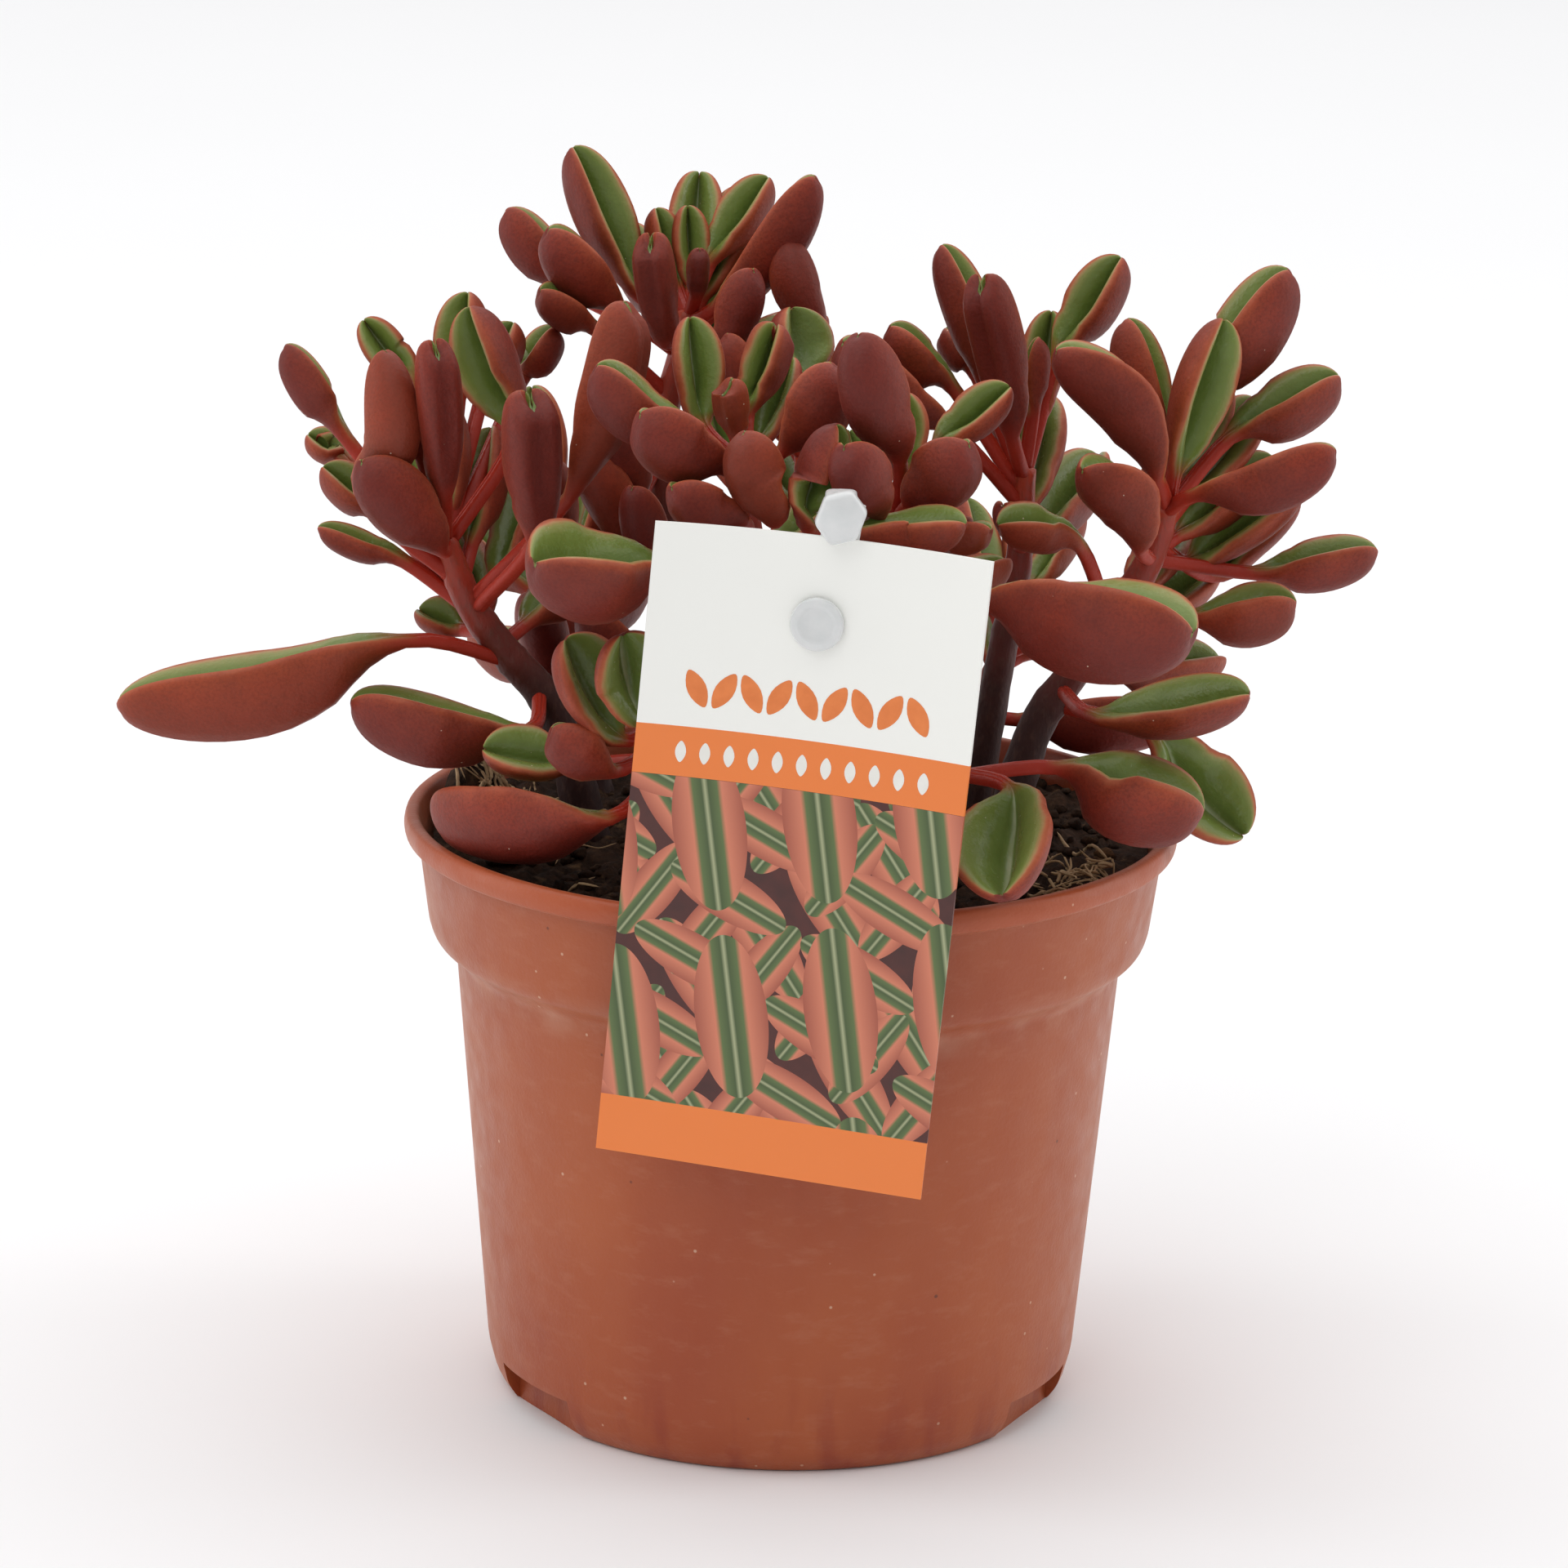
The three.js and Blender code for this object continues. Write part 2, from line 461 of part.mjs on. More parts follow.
const SOIL_LUMPS = [
  { x: -51, y: 13, height: 7, radius: 6 },
  { x: 44, y: -14, height: 1.5, radius: 7 },
  { x: -46, y: -24, height: -3, radius: 12 },
  { x: 40, y: -30, height: -1, radius: 10 },
  { x: -8, y: 42, height: 2, radius: 9 },
  { x: 20, y: 46, height: 2.4, radius: 6 },
];

function soilHeight(x, y) {
  let height = SOIL_LEVEL + 0.7 * Math.sin(0.31 * x + 1.3) * Math.cos(0.27 * y)
    + 0.5 * Math.sin(0.83 * x - 0.61 * y);
  for (const lump of SOIL_LUMPS) {
    const away = ((x - lump.x) ** 2 + (y - lump.y) ** 2) / lump.radius ** 2;
    height += lump.height * Math.exp(-away);
  }
  return height;
}

function soilSolid(stems, forkHole) {
  const ringCount = 5;
  const clear = POT_WALL + GAP + 0.2; // the wall's facets come a little inside its circle
  const edge = 57 - clear;
  const wall = [
    [0, FLOOR_TOP + GAP], [43, FLOOR_TOP + GAP], [46.6 - clear, 10], [51.7 - clear, STEP_HEIGHT + 1.5],
    [55.6 - clear, 77],
  ];
  const profile = wall.map(([r, z]) => new THREE.Vector2(r, z));
  for (let ring = ringCount; ring >= 0; ring -= 1) {
    profile.push(new THREE.Vector2(edge * ring / ringCount, SOIL_LEVEL));
  }
  const lathe = turned(profile, 24);
  const spot = lathe.attributes.position;
  for (let i = 0; i < spot.count; i += 1) {
    if (spot.getZ(i) > SOIL_LEVEL - 0.01) {
      spot.setZ(i, soilHeight(spot.getX(i), spot.getY(i)));
    }
  }
  return solidOf(lathe).subtract(joined([...stems, forkHole]));
}

// A stem's hole in the soil: straight along the stem's foot, a little wider and deeper
function stemHole(plan) {
  const path = curveThrough(plan.path.map((spot) => seen(...spot)));
  const foot = path.getPoint(0);
  const heading = path.getTangent(0);
  const [below, above] = [2, 16];
  const radius = plan.radius[0] + 2 * GAP;
  const hole = new THREE.CylinderGeometry(radius, radius, below + above, STEM.around);
  hole.translate(0, (above - below) / 2, 0);
  hole.applyQuaternion(new THREE.Quaternion().setFromUnitVectors(new THREE.Vector3(0, 1, 0), heading));
  hole.translate(foot.x, foot.y, foot.z);
  return solidOf(hole);
}

// Card: four corners as seen, with a shallow bow towards the plant at its top edge

const CARD_CORNERS = {
  topLeft: seen(-21.7, 137.7, -61.2),
  topRight: seen(30.2, 132.4, -69.2),
  bottomLeft: seen(-29.6, 36.6, -57),
  bottomRight: seen(21.8, 29.1, -65),
};

// A spot on the card's middle layer: u from left to right, v from bottom to top
function onCard(u, v) {
  const bottom = CARD_CORNERS.bottomLeft.clone().lerp(CARD_CORNERS.bottomRight, u);
  const top = CARD_CORNERS.topLeft.clone().lerp(CARD_CORNERS.topRight, u);
  const spot = bottom.lerp(top, v);
  spot.y += CARD.bow * 4 * u * (1 - u) * v;
  return spot;
}

function cardFacing(u, v) {
  const step = 0.01;
  const across = onCard(u + step, v).sub(onCard(u - step, v));
  const upward = onCard(u, v + step).sub(onCard(u, v - step));
  return across.cross(upward).normalize();
}

function cardSolid() {
  const sheet = new THREE.BoxGeometry(1, 1, 1, 6, 5, 1);
  const spot = sheet.attributes.position;
  for (let i = 0; i < spot.count; i += 1) {
    const [u, v] = [spot.getX(i) + 0.5, spot.getY(i) + 0.5];
    const p = onCard(u, v).addScaledVector(cardFacing(u, v), spot.getZ(i) * CARD.thickness);
    spot.setXYZ(i, p.x, p.y, p.z);
  }
  const hole = buttonPart(CARD.holeRadius, -3, 3, 12);
  return solidOf(sheet).subtract(hole);
}

// Stake: a knob over the card's top edge, a button through the card, and a fork in the soil behind it

const BUTTON_SPOT = { u: 0.51, v: 0.868 };
const KNOB_SPOT = { u: 0.55, v: 1.035 };

function buttonPart(radius, from, to, sides) {
  const { u, v } = BUTTON_SPOT;
  const rod = new THREE.CylinderGeometry(radius, radius, to - from, sides);
  rod.translate(0, (from + to) / 2, 0);
  const turn = new THREE.Quaternion().setFromUnitVectors(new THREE.Vector3(0, 1, 0), cardFacing(u, v));
  rod.applyQuaternion(turn);
  const centre = onCard(u, v);
  rod.translate(centre.x, centre.y, centre.z);
  return solidOf(rod);
}

function bar(points, width, thickness) {
  const section = new THREE.Shape();
  section.moveTo(-thickness / 2, -width / 2);
  section.lineTo(thickness / 2, -width / 2);
  section.lineTo(thickness / 2, width / 2);
  section.lineTo(-thickness / 2, width / 2);
  const path = curveThrough(points);
  return solidOf(new THREE.ExtrudeGeometry(section, { steps: 4, bevelEnabled: false, extrudePath: path }));
}

function stakeSolid() {
  const skin = CARD.thickness / 2 + GAP;
  const button = buttonPart(BUTTON.radius, skin, skin + BUTTON.thickness, 12);
  const overlap = 0.4;
  const back = skin + STAKE.thickness;
  const stub = buttonPart(BUTTON.stub, -back, skin + overlap, 10);
  const seat = buttonPart(STAKE.width / 2 + 0.6, -back - overlap, -skin, 12);
  const behind = (u, v, gap) => onCard(u, v).addScaledVector(cardFacing(u, v), -gap);
  const depth = skin + overlap + STAKE.thickness / 2;
  const spine = bar([behind(0.55, 1.05, depth), behind(0.535, 0.96, depth), behind(0.51, 0.84, depth)],
    STAKE.width, STAKE.thickness);
  const knobCentre = onCard(KNOB_SPOT.u, KNOB_SPOT.v)
    .addScaledVector(cardFacing(0.5, 1), skin + KNOB.thickness / 2);
  const knob = new THREE.CylinderGeometry(KNOB.radiusBack, KNOB.radiusFront, KNOB.thickness, 6);
  knob.scale(KNOB.flattened, 1, 1.02);
  knob.rotateY(KNOB.turn);
  knob.translate(knobCentre.x, knobCentre.y, knobCentre.z);
  const bridge = boxAt(BRIDGE.width, BRIDGE.depth, BRIDGE.height,
    knobCentre.x, knobCentre.y + BRIDGE.behind, knobCentre.z + BRIDGE.above);
  const prongs = [-1, 1].map((side) => bar([
    behind(0.51, 0.87, depth),
    behind(0.51 + side * 0.06, 0.74, depth + 1),
    new THREE.Vector3(FORK.across + side * FORK.apart, ...FORK.bend),
    new THREE.Vector3(FORK.across + side * (FORK.apart + FORK.spread), ...FORK.tip),
  ], FORK.width, STAKE.thickness));
  return joined([button, stub, seat, spine, solidOf(knob), solidOf(bridge), ...prongs]);
}

function forkHole() {
  const { width, depth, height, apart, y, middle } = FORK_HOLE;
  return joined([-1, 1].map((side) => (
    solidOf(boxAt(width, depth, height, FORK.across + side * apart, y, middle)))));
}

// The object

const LEAF_RED = 0x8c3a30;
const object = new THREE.Group();
object.add(piece('nursery_pot', potSolid(), 0xa4583c, 0.45));
object.add(piece('peat_soil', soilSolid(LEAFY_STEMS.map(stemHole), forkHole()), 0x2c1f18, 0.95));
for (const plan of LEAFY_STEMS) {
  object.add(piece(plan.name, leafyStem(plan), LEAF_RED, 0.5));
}
object.add(piece('plant_card', cardSolid(), 0xf0f0eb, 0.4));
object.add(piece('card_stake', stakeSolid(), 0xe8eceb, 0.15));

export default object;
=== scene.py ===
# Peperomia graveolens in a brick-orange nursery pot, with a plant card on a clear stake.
# Shapes are worked out in millimetres and each finished mesh is scaled to metres.
# +Z is up, the front is towards -Y, and the origin is the middle of the pot's foot.

import math
from functools import partial

import bmesh
import bpy
from mathutils import Matrix, Vector, noise


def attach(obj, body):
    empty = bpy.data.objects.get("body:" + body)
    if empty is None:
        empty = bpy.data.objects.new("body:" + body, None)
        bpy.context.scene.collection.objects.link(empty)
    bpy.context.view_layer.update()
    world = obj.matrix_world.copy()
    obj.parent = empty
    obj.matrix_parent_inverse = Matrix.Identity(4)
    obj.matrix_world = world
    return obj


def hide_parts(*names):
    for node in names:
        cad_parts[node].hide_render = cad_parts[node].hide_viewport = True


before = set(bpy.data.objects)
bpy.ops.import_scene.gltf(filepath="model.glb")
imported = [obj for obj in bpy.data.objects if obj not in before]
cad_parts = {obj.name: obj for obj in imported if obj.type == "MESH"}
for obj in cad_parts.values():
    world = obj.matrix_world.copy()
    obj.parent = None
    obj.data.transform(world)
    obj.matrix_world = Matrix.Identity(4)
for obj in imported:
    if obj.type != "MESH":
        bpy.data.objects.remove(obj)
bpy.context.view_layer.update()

# Driving dimensions, as in the part

MM = 0.001

RIM_RADIUS, POT_HEIGHT, POT_WALL = 60.0, 92.3, 1.1
LIP_UNDER, STEP_HEIGHT, FLOOR_TOP, FLOOR_UNDER = 88.2, 70.1, 4.2, 3.0
PAD_RADIUS = 9.0
NOTCH_WIDTH, NOTCH_HEIGHT, NOTCH_COUNT, NOTCH_TURN = 19.5, 6.4, 3, 63.0
NOTCH_DEPTH, NOTCH_AWAY = 12.0, 48.0
DRAIN_RADIUS, DRAIN_CIRCLE, DRAIN_COUNT = 2.6, 26.0, 5

SOIL_LEVEL = 88.2
GAP = 0.3
SOIL_INSET = POT_WALL + GAP + 0.2  # from the pot's outside to the soil

CARD_THICKNESS, CARD_BOW = 0.6, 3.4
BUTTON_RADIUS, BUTTON_THICKNESS, STUB_RADIUS = 3.9, 1.1, 1.7
KNOB_FRONT, KNOB_BACK, KNOB_THICKNESS, KNOB_TURN = 4.3, 4.1, 2.4, 0.35
BRIDGE_WIDTH, BRIDGE_THICKNESS = 4.6, 2.6
STAKE_WIDTH, STAKE_THICKNESS, LEG_WIDTH = 5.6, 1.8, 2.6
SEAT_GAP = 0.4  # between the card's back and the stake's blade, past the first gap

STALK_RADIUS = 1.1
MARGIN_TURN = 2 / 3  # the red back takes this share of the turn from keel to groove

# A blade: where it is widest, how blunt its tip is, how much of each half is bent beside the midrib,
# how far it is centred on its spine, the notch at its tip in mm and the valley down its back
WIDEST, BLUNT, BEND, CENTRE, TIP_NOTCH, VALLEY = 0.56, 2.1, 0.2, 0.4, 0.6, 0.05
THINNEST, THICKER, VALLEY_WIDTH = 0.8, 0.32, 0.34  # mm, then shares of a half and of the thickness
BLADE_FOOT, FOOT_TAPER, EDGE_TAPER = 0.3, 1.1, 0.8

# Leaves folded tighter than this are young: blunter, rounder at the midrib, notched and creased
YOUNG_FOLD, YOUNG_BLUNT, YOUNG_BEND, YOUNG_NOTCH, YOUNG_VALLEY = 70, 3.4, 0.36, 2.7, 0.55

# The photograph's eye: where it stands, how far it looks down and how it is tilted

EYE = Vector((-1.2, -850.0, 323.5))
LOOK_DOWN = 0.261
TILT = 0.021
LENS = 130.4
SENSOR = 36.0

TO_VIEWER = Vector((0, -1, 0))


# Small helpers


def linear(code):
    """An sRGB hex colour as linear RGBA."""
    parts = [int(code[i:i + 2], 16) / 255 for i in (1, 3, 5)]
    return (*[p / 12.92 if p <= 0.04045 else ((p + 0.055) / 1.055) ** 2.4 for p in parts], 1.0)


def between(low, high, share):
    return low + (high - low) * share


def held(value, low=0.0, high=1.0):
    return max(low, min(high, value))


def eased(value, start, end):
    share = held((value - start) / (end - start))
    return share * share * (3 - 2 * share)


def seen(across, up, depth):
    """A place read across and up on the plane through the pot's axis, moved along its line of sight."""
    stretch = (depth - EYE.y) / -EYE.y
    return Vector((EYE.x + (across - EYE.x) * stretch, depth, EYE.z - (EYE.z - up) * stretch))


def drawer(seed):
    """Seeded draws, the same on every run."""
    state = seed

    def draw(low, high):
        nonlocal state
        state = state * 16807 % 2147483647
        return between(low, high, state / 2147483647)

    return draw


class Route:
    """A smooth curve through points. 0 is its first point and 1 its last."""

    def __init__(self, points):
        self.points = [Vector(p) for p in points]

    def point(self, t):
        last = len(self.points) - 1
        i = min(int(last * t), last - 1)
        w = last * t - i
        b, c = self.points[i], self.points[i + 1]
        a = self.points[i - 1] if i > 0 else 2 * b - c
        d = self.points[i + 2] if i + 2 <= last else 2 * c - b
        leave, arrive = (c - a) / 2, (d - b) / 2
        return (b + leave * w + (3 * (c - b) - 2 * leave - arrive) * w ** 2
                + (2 * (b - c) + leave + arrive) * w ** 3)

    def heading(self, t):
        step = 1e-4
        return (self.point(min(1, t + step)) - self.point(max(0, t - step))).normalized()


# Making pieces


def finish_piece(name, shape, finishes, nodes=(), crease=180):
    """Turns a bmesh in millimetres into a piece in metres that rides on the one body."""
    bmesh.ops.scale(shape, vec=(MM, MM, MM), verts=shape.verts)
    mesh = bpy.data.meshes.new(name)
    shape.to_mesh(mesh)
    shape.free()
    for finish in finishes:
        mesh.materials.append(finish)
    mesh.shade_smooth()
    mesh.set_sharp_from_angle(angle=math.radians(crease))
    piece = bpy.data.objects.new(name, mesh)
    bpy.context.scene.collection.objects.link(piece)
    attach(piece, "root")
    if nodes:
        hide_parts(*nodes)
    return piece


def faces_of(verts):
    return list({face for vert in verts for face in vert.link_faces})


def join_parts(parts, name="parts"):
    """One bmesh of several, each made apart because an operator reads through the whole bmesh."""
    whole = bmesh.new()
    for part in parts:
        mesh = bpy.data.meshes.new(name)
        part.to_mesh(mesh)
        part.free()
        whole.from_mesh(mesh)
        bpy.data.meshes.remove(mesh)
    return whole


def shaped_ball(shape, around, along, place, finish=0):
    """A ball drawn out by place(vert, share, turn): share runs from root pole to tip pole,
    and turn is the unit direction round it, or None at a pole."""
    ball = bmesh.ops.create_uvsphere(shape, u_segments=around, v_segments=along, radius=1)["verts"]
    for vert in ball:
        share = math.acos(held(vert.co.z, -1, 1)) / math.pi
        wide = math.hypot(vert.co.x, vert.co.y)
        turn = None if wide < 1e-4 else (vert.co.y / wide, vert.co.x / wide)
        vert.co = place(vert, share, turn)
    faces = faces_of(ball)
    for face in faces:
        face.material_index = finish
    bmesh.ops.recalc_face_normals(shape, faces=faces)
    return ball


# Finishes

SHARE, UNDER, OVER, BLEND = 0, 6, 7, 2  # a colour Mix node's sockets and its output


def add_node(tree, kind, inputs=None, output=0, into=None, stops=None, **settings):
    """Adds a node with its settings and links, and returns one of its outputs. An input is a value,
    a hex colour or another node's output, into is a socket that the output feeds, and stops are a
    ramp's colours."""
    node = tree.nodes.new("ShaderNode" + kind)
    for name, value in settings.items():
        setattr(node, name, value)
    for socket, value in (inputs or {}).items():
        if isinstance(value, bpy.types.NodeSocket):
            tree.links.new(value, node.inputs[socket])
        else:
            node.inputs[socket].default_value = linear(value) if isinstance(value, str) else value
    for place, (at, code) in enumerate(stops or []):
        if place >= len(node.color_ramp.elements):
            node.color_ramp.elements.new(at)
        node.color_ramp.elements[place].position = at
        node.color_ramp.elements[place].color = linear(code)
    if into:
        tree.links.new(node.outputs[output], into)
    return node.outputs[output]


def new_finish(name, fixed):
    """A material, its shader's sockets and what adds its nodes. fixed holds for the whole surface."""
    finish = bpy.data.materials.new(name)
    finish.use_nodes = True
    skin = finish.node_tree.nodes["Principled BSDF"].inputs
    for socket, value in fixed.items():
        skin[socket].default_value = value
    return finish, skin, partial(add_node, finish.node_tree)


def spots(add, millimetres, detail=3.0, rough=0.5, stretch=(1, 1, 1), span=None, to=(0, 1),
          into=None):
    """Noise on the object's own coordinates, with spots about that many millimetres wide. If span
    is given, that part of the noise's range is laid out over the range to."""
    place = add("Mapping", {"Vector": add("TexCoord", output="Object"), "Scale": stretch})
    value = add("TexNoise", {"Vector": place, "Scale": 1 / (millimetres * MM),
                             "Detail": detail, "Roughness": rough})
    if not span:
        return value
    return add("MapRange", {"Value": value, "From Min": span[0], "From Max": span[1],
                            "To Min": to[0], "To Max": to[1]}, into=into)


def specks(add, millimetres, size, share):
    """Round specks, on average one in so many cells that many millimetres wide."""
    place = {"Vector": add("TexCoord", output="Object"), "Scale": 1 / (millimetres * MM)}
    near = add("MapRange", {"Value": add("TexVoronoi", place, output="Distance"),
                            "From Min": size, "From Max": size * 0.6})
    cell = add("SeparateColor", {"Color": add("TexVoronoi", place, output="Color")}, output="Red")
    return add("Math", {0: near, 1: add("Math", {0: cell, 1: share}, operation="LESS_THAN")},
               operation="MULTIPLY")


def paint(add, skin, ground, layers):
    """Lays each layer's colour over the ground by the layer's own share. Every Mix takes the place of
    the one before it in the skin, so that the last one stays there."""
    for share, colour in layers:
        ground = add("Mix", {SHARE: share, UNDER: ground, OVER: colour}, BLEND, skin["Base Color"],
                     data_type="RGBA")


def leaf_skin():
    """Peperomia leaf: thick water-filled tissue under a waxy skin. The back is red and velvety,
    the margin a thin orange line, and the window on the inner face is glossy green."""
    finish, skin, add = new_finish("peperomia_leaf_skin", {
        "IOR": 1.38, "Sheen Weight": 0.12, "Sheen Roughness": 0.35, "Sheen Tint": linear("#EE8A72"),
        "Subsurface Weight": 0.1, "Subsurface Radius": (1.0, 0.3, 0.15), "Subsurface Scale": 1.8 * MM})
    turn = add("Attribute", attribute_name="blade_turn", output="Fac")
    along = add("Attribute", attribute_name="blade_along", output="Fac")
    age = add("Attribute", attribute_name="leaf_age", output="Fac")
    waver = spots(add, 5.0, span=(0, 1), to=(-0.06, 0.06))
    across = add("MapRange", {"Value": add("Math", {0: turn, 1: waver}, operation="ADD"),
                              "From Min": -1.0, "From Max": 1.0})
    # the back runs from dark red at the keel to a lighter orange red near the margin: partly the leaf's
    # own colour, partly painted sheen and painted light glowing through the thin edge
    ground = add("ValToRGB", {"Fac": across}, stops=[
        (0.0, "#74241A"), (0.2, "#842B1B"), (0.4, "#983820"), (0.485, "#A84A2C"),
        (0.515, "#B4633F"), (0.53, "#A88555"), (0.55, "#8E8F52"), (0.61, "#73823D"),
        (0.74, "#647633"), (0.94, "#687B3C"), (1.0, "#ADB78C")])
    back = add("MapRange", {"Value": across, "From Min": 0.52, "From Max": 0.46})
    window = add("MapRange", {"Value": across, "From Min": 0.55, "From Max": 0.62})
    layers = [
        # clouds of darker red about 7 mm wide, then velvety dots half a millimetre wide
        (spots(add, 7.0, 4.0, span=(0.3, 0.7), to=(0, 0.5)), back, "#5E1E15"),
        (spots(add, 0.45, 2.0, 0.7, span=(0.42, 0.66), to=(0, 0.36)), back, "#4C160F"),
        # each leaf has its own age: some turn orange brown and some purple
        (add("MapRange", {"Value": age, "From Min": 0.55, "To Max": 0.3}), back, "#A44C26"),
        (add("MapRange", {"Value": age, "From Min": 0.4, "From Max": 0.0, "To Max": 0.32}), back,
         "#621F1A"),
        (spots(add, 4.0, span=(0.35, 0.7), to=(0, 0.4)), window, "#7F9150"),
        # grains of pale dust lie on the skin
        (specks(add, 2.8, 0.05, 0.22), 0.8, "#DCC8B4"),
        # the stalk and the blade's foot are bright crimson
        (add("MapRange", {"Value": along, "From Min": 0.42, "From Max": 0.29}), 1.0, "#A8301F"),
    ]
    paint(add, skin, ground, [(add("Math", {0: amount, 1: where}, operation="MULTIPLY"), colour)
                              for amount, where, colour in layers])
    gloss = add("MapRange", {"Value": across, "From Min": 0.5, "From Max": 0.58,
                             "To Min": 0.54, "To Max": 0.25})
    add("Math", {0: gloss, 1: spots(add, 2.0, span=(0, 1), to=(-0.08, 0.08))},
        into=skin["Roughness"], operation="ADD")
    grain = add("Math", {0: spots(add, 0.5, 2.0), 1: 0.35, 2: spots(add, 3.2, 2.0)},
                operation="MULTIPLY_ADD")
    add("Bump", {"Height": grain, "Distance": 0.35 * MM, "Strength": 0.55}, into=skin["Normal"])
    return finish


def stem_skin():
    """Peperomia stem: corky and dark maroon at the soil, smooth crimson at the crown."""
    finish, skin, add = new_finish("maroon_stem_skin", {
        "IOR": 1.42, "Subsurface Weight": 0.06, "Subsurface Radius": (1.0, 0.3, 0.2),
        "Subsurface Scale": 1.2 * MM})
    share = add("Math", {0: add("Attribute", attribute_name="stem_share", output="Fac"),
                         1: spots(add, 6.0, span=(0, 1), to=(-0.15, 0.15))}, operation="ADD")
    ground = add("ValToRGB", {"Fac": share}, stops=[
        (0.0, "#2A1513"), (0.3, "#40201B"), (0.6, "#6E2A20"), (0.85, "#9C3524"), (1.0, "#B04029")])
    fibre = spots(add, 0.8, 4.0, 0.6, stretch=(1, 1, 0.4))
    cork = add("MapRange", {"Value": fibre, "From Min": 0.5, "From Max": 0.75, "To Max": 0.5})
    paint(add, skin, ground, [(cork, "#5E4034")])
    add("MapRange", {"Value": share, "From Min": 0.2, "From Max": 0.9, "To Min": 0.62,
                     "To Max": 0.36}, into=skin["Roughness"])
    add("Bump", {"Height": fibre, "Distance": 0.25 * MM, "Strength": 0.7}, into=skin["Normal"])
    return finish


def moulded_polypropylene():
    """Nursery pot polypropylene, moulded thin: satin brick orange, paler where it is scuffed, with
    dust specks, and redder in runs near the foot, where water drips."""
    finish, skin, add = new_finish("moulded_polypropylene", {
        "IOR": 1.49, "Sheen Weight": 0.16, "Sheen Roughness": 0.4, "Sheen Tint": linear("#FFD6B4")})
    cloud = spots(add, 26.0, stretch=(1, 1, 0.5), span=(0.3, 0.7))
    scuff = spots(add, 3.4, 5.0, 0.65, stretch=(0.55, 0.55, 1.5), span=(0.52, 0.8), to=(0, 0.34))
    height = add("SeparateXYZ", {"Vector": add("TexCoord", output="Object")}, output="Z")
    # the ledge of the step is rubbed pale where pots stack, and the lip is a brighter orange all round,
    # from just above its underside
    over_step = add("MapRange", {"Value": height, "From Min": (STEP_HEIGHT - 4) * MM,
                                 "From Max": STEP_HEIGHT * MM})
    ledge = add("MapRange", {"Value": height, "From Min": (STEP_HEIGHT + 6) * MM,
                             "From Max": (STEP_HEIGHT + 1) * MM})
    ledge = add("Math", {0: over_step, 1: ledge}, operation="MULTIPLY")
    smear = spots(add, 9.0, 4.0, span=(0.44, 0.68), to=(0, 0.5))
    lip = add("MapRange", {"Value": height, "From Min": (LIP_UNDER + 0.2) * MM,
                           "From Max": (LIP_UNDER + 1) * MM, "To Max": 0.45})
    runs = spots(add, 5.0, stretch=(1, 1, 0.18), span=(0.5, 0.66), to=(0, 0.55))
    low_wall = add("MapRange", {"Value": height, "From Min": 20 * MM, "From Max": 2 * MM})
    paint(add, skin, "#9B431E", [
        (cloud, "#A85226"),
        (scuff, "#B8765A"),
        (add("Math", {0: ledge, 1: smear}, operation="MULTIPLY"), "#C08A70"),
        (lip, "#B4502A"),
        (add("Math", {0: specks(add, 3.4, 0.09, 0.3), 1: 0.6}, operation="MULTIPLY"), "#D9B59A"),
        (add("Math", {0: specks(add, 4.6, 0.08, 0.25), 1: 0.7}, operation="MULTIPLY"), "#4A2418"),
        (add("Math", {0: runs, 1: low_wall}, operation="MULTIPLY"), "#862812"),
    ])
    matt = spots(add, 4.0, 4.0, span=(0.3, 0.7), to=(0.36, 0.52))
    add("Math", {0: scuff, 1: 0.3, 2: matt}, into=skin["Roughness"], operation="MULTIPLY_ADD")
    grain = add("Math", {0: spots(add, 9.0), 1: 2.0, 2: spots(add, 0.6, 2.0)},
                operation="MULTIPLY_ADD")
    add("Bump", {"Height": grain, "Distance": 0.12 * MM, "Strength": 0.5}, into=skin["Normal"])
    return finish


def damp_peat():
    """Milled peat: dark brown crumbs with paler dry fibre, rough all over."""
    finish, skin, add = new_finish("damp_peat", {"IOR": 1.4, "Specular IOR Level": 0.25,
                                                 "Roughness": 0.94})
    paint(add, skin, "#1B120D", [
        (spots(add, 1.6, 5.0, 0.65, span=(0.3, 0.72)), "#4A3324"),
        (spots(add, 5.5, 4.0, 0.7, span=(0.58, 0.75), to=(0, 0.6)), "#8A6A48")])
    add("Bump", {"Height": spots(add, 1.1, 6.0, 0.7), "Distance": 0.8 * MM, "Strength": 0.9},
        into=skin["Normal"])
    return finish


def dry_root():
    """Hair roots: pale tan threads, dull."""
    finish, skin, add = new_finish("dry_root", {"IOR": 1.4, "Roughness": 0.75})
    paint(add, skin, "#8C6A48", [(spots(add, 2.0), "#C9AE86")])
    add("Bump", {"Height": spots(add, 0.5), "Distance": 0.1 * MM, "Strength": 0.5},
        into=skin["Normal"])
    return finish


# The print: its size in mm, its bands as shares of the card's height from below, and the turn,
# cell length, cell width and shift of each lattice of leaves between them
CARD_WIDE, CARD_HIGH = 51.0, 101.0
FOOT_BAND, FIELD_TOP, BAND_TOP = 0.091, 0.609, 0.687
PRINTED_LEAVES = [(52, 25, 12.0, 3), (122, 21, 10.5, 8), (24, 23, 11.5, 14), (78, 30, 17.0, 5)]


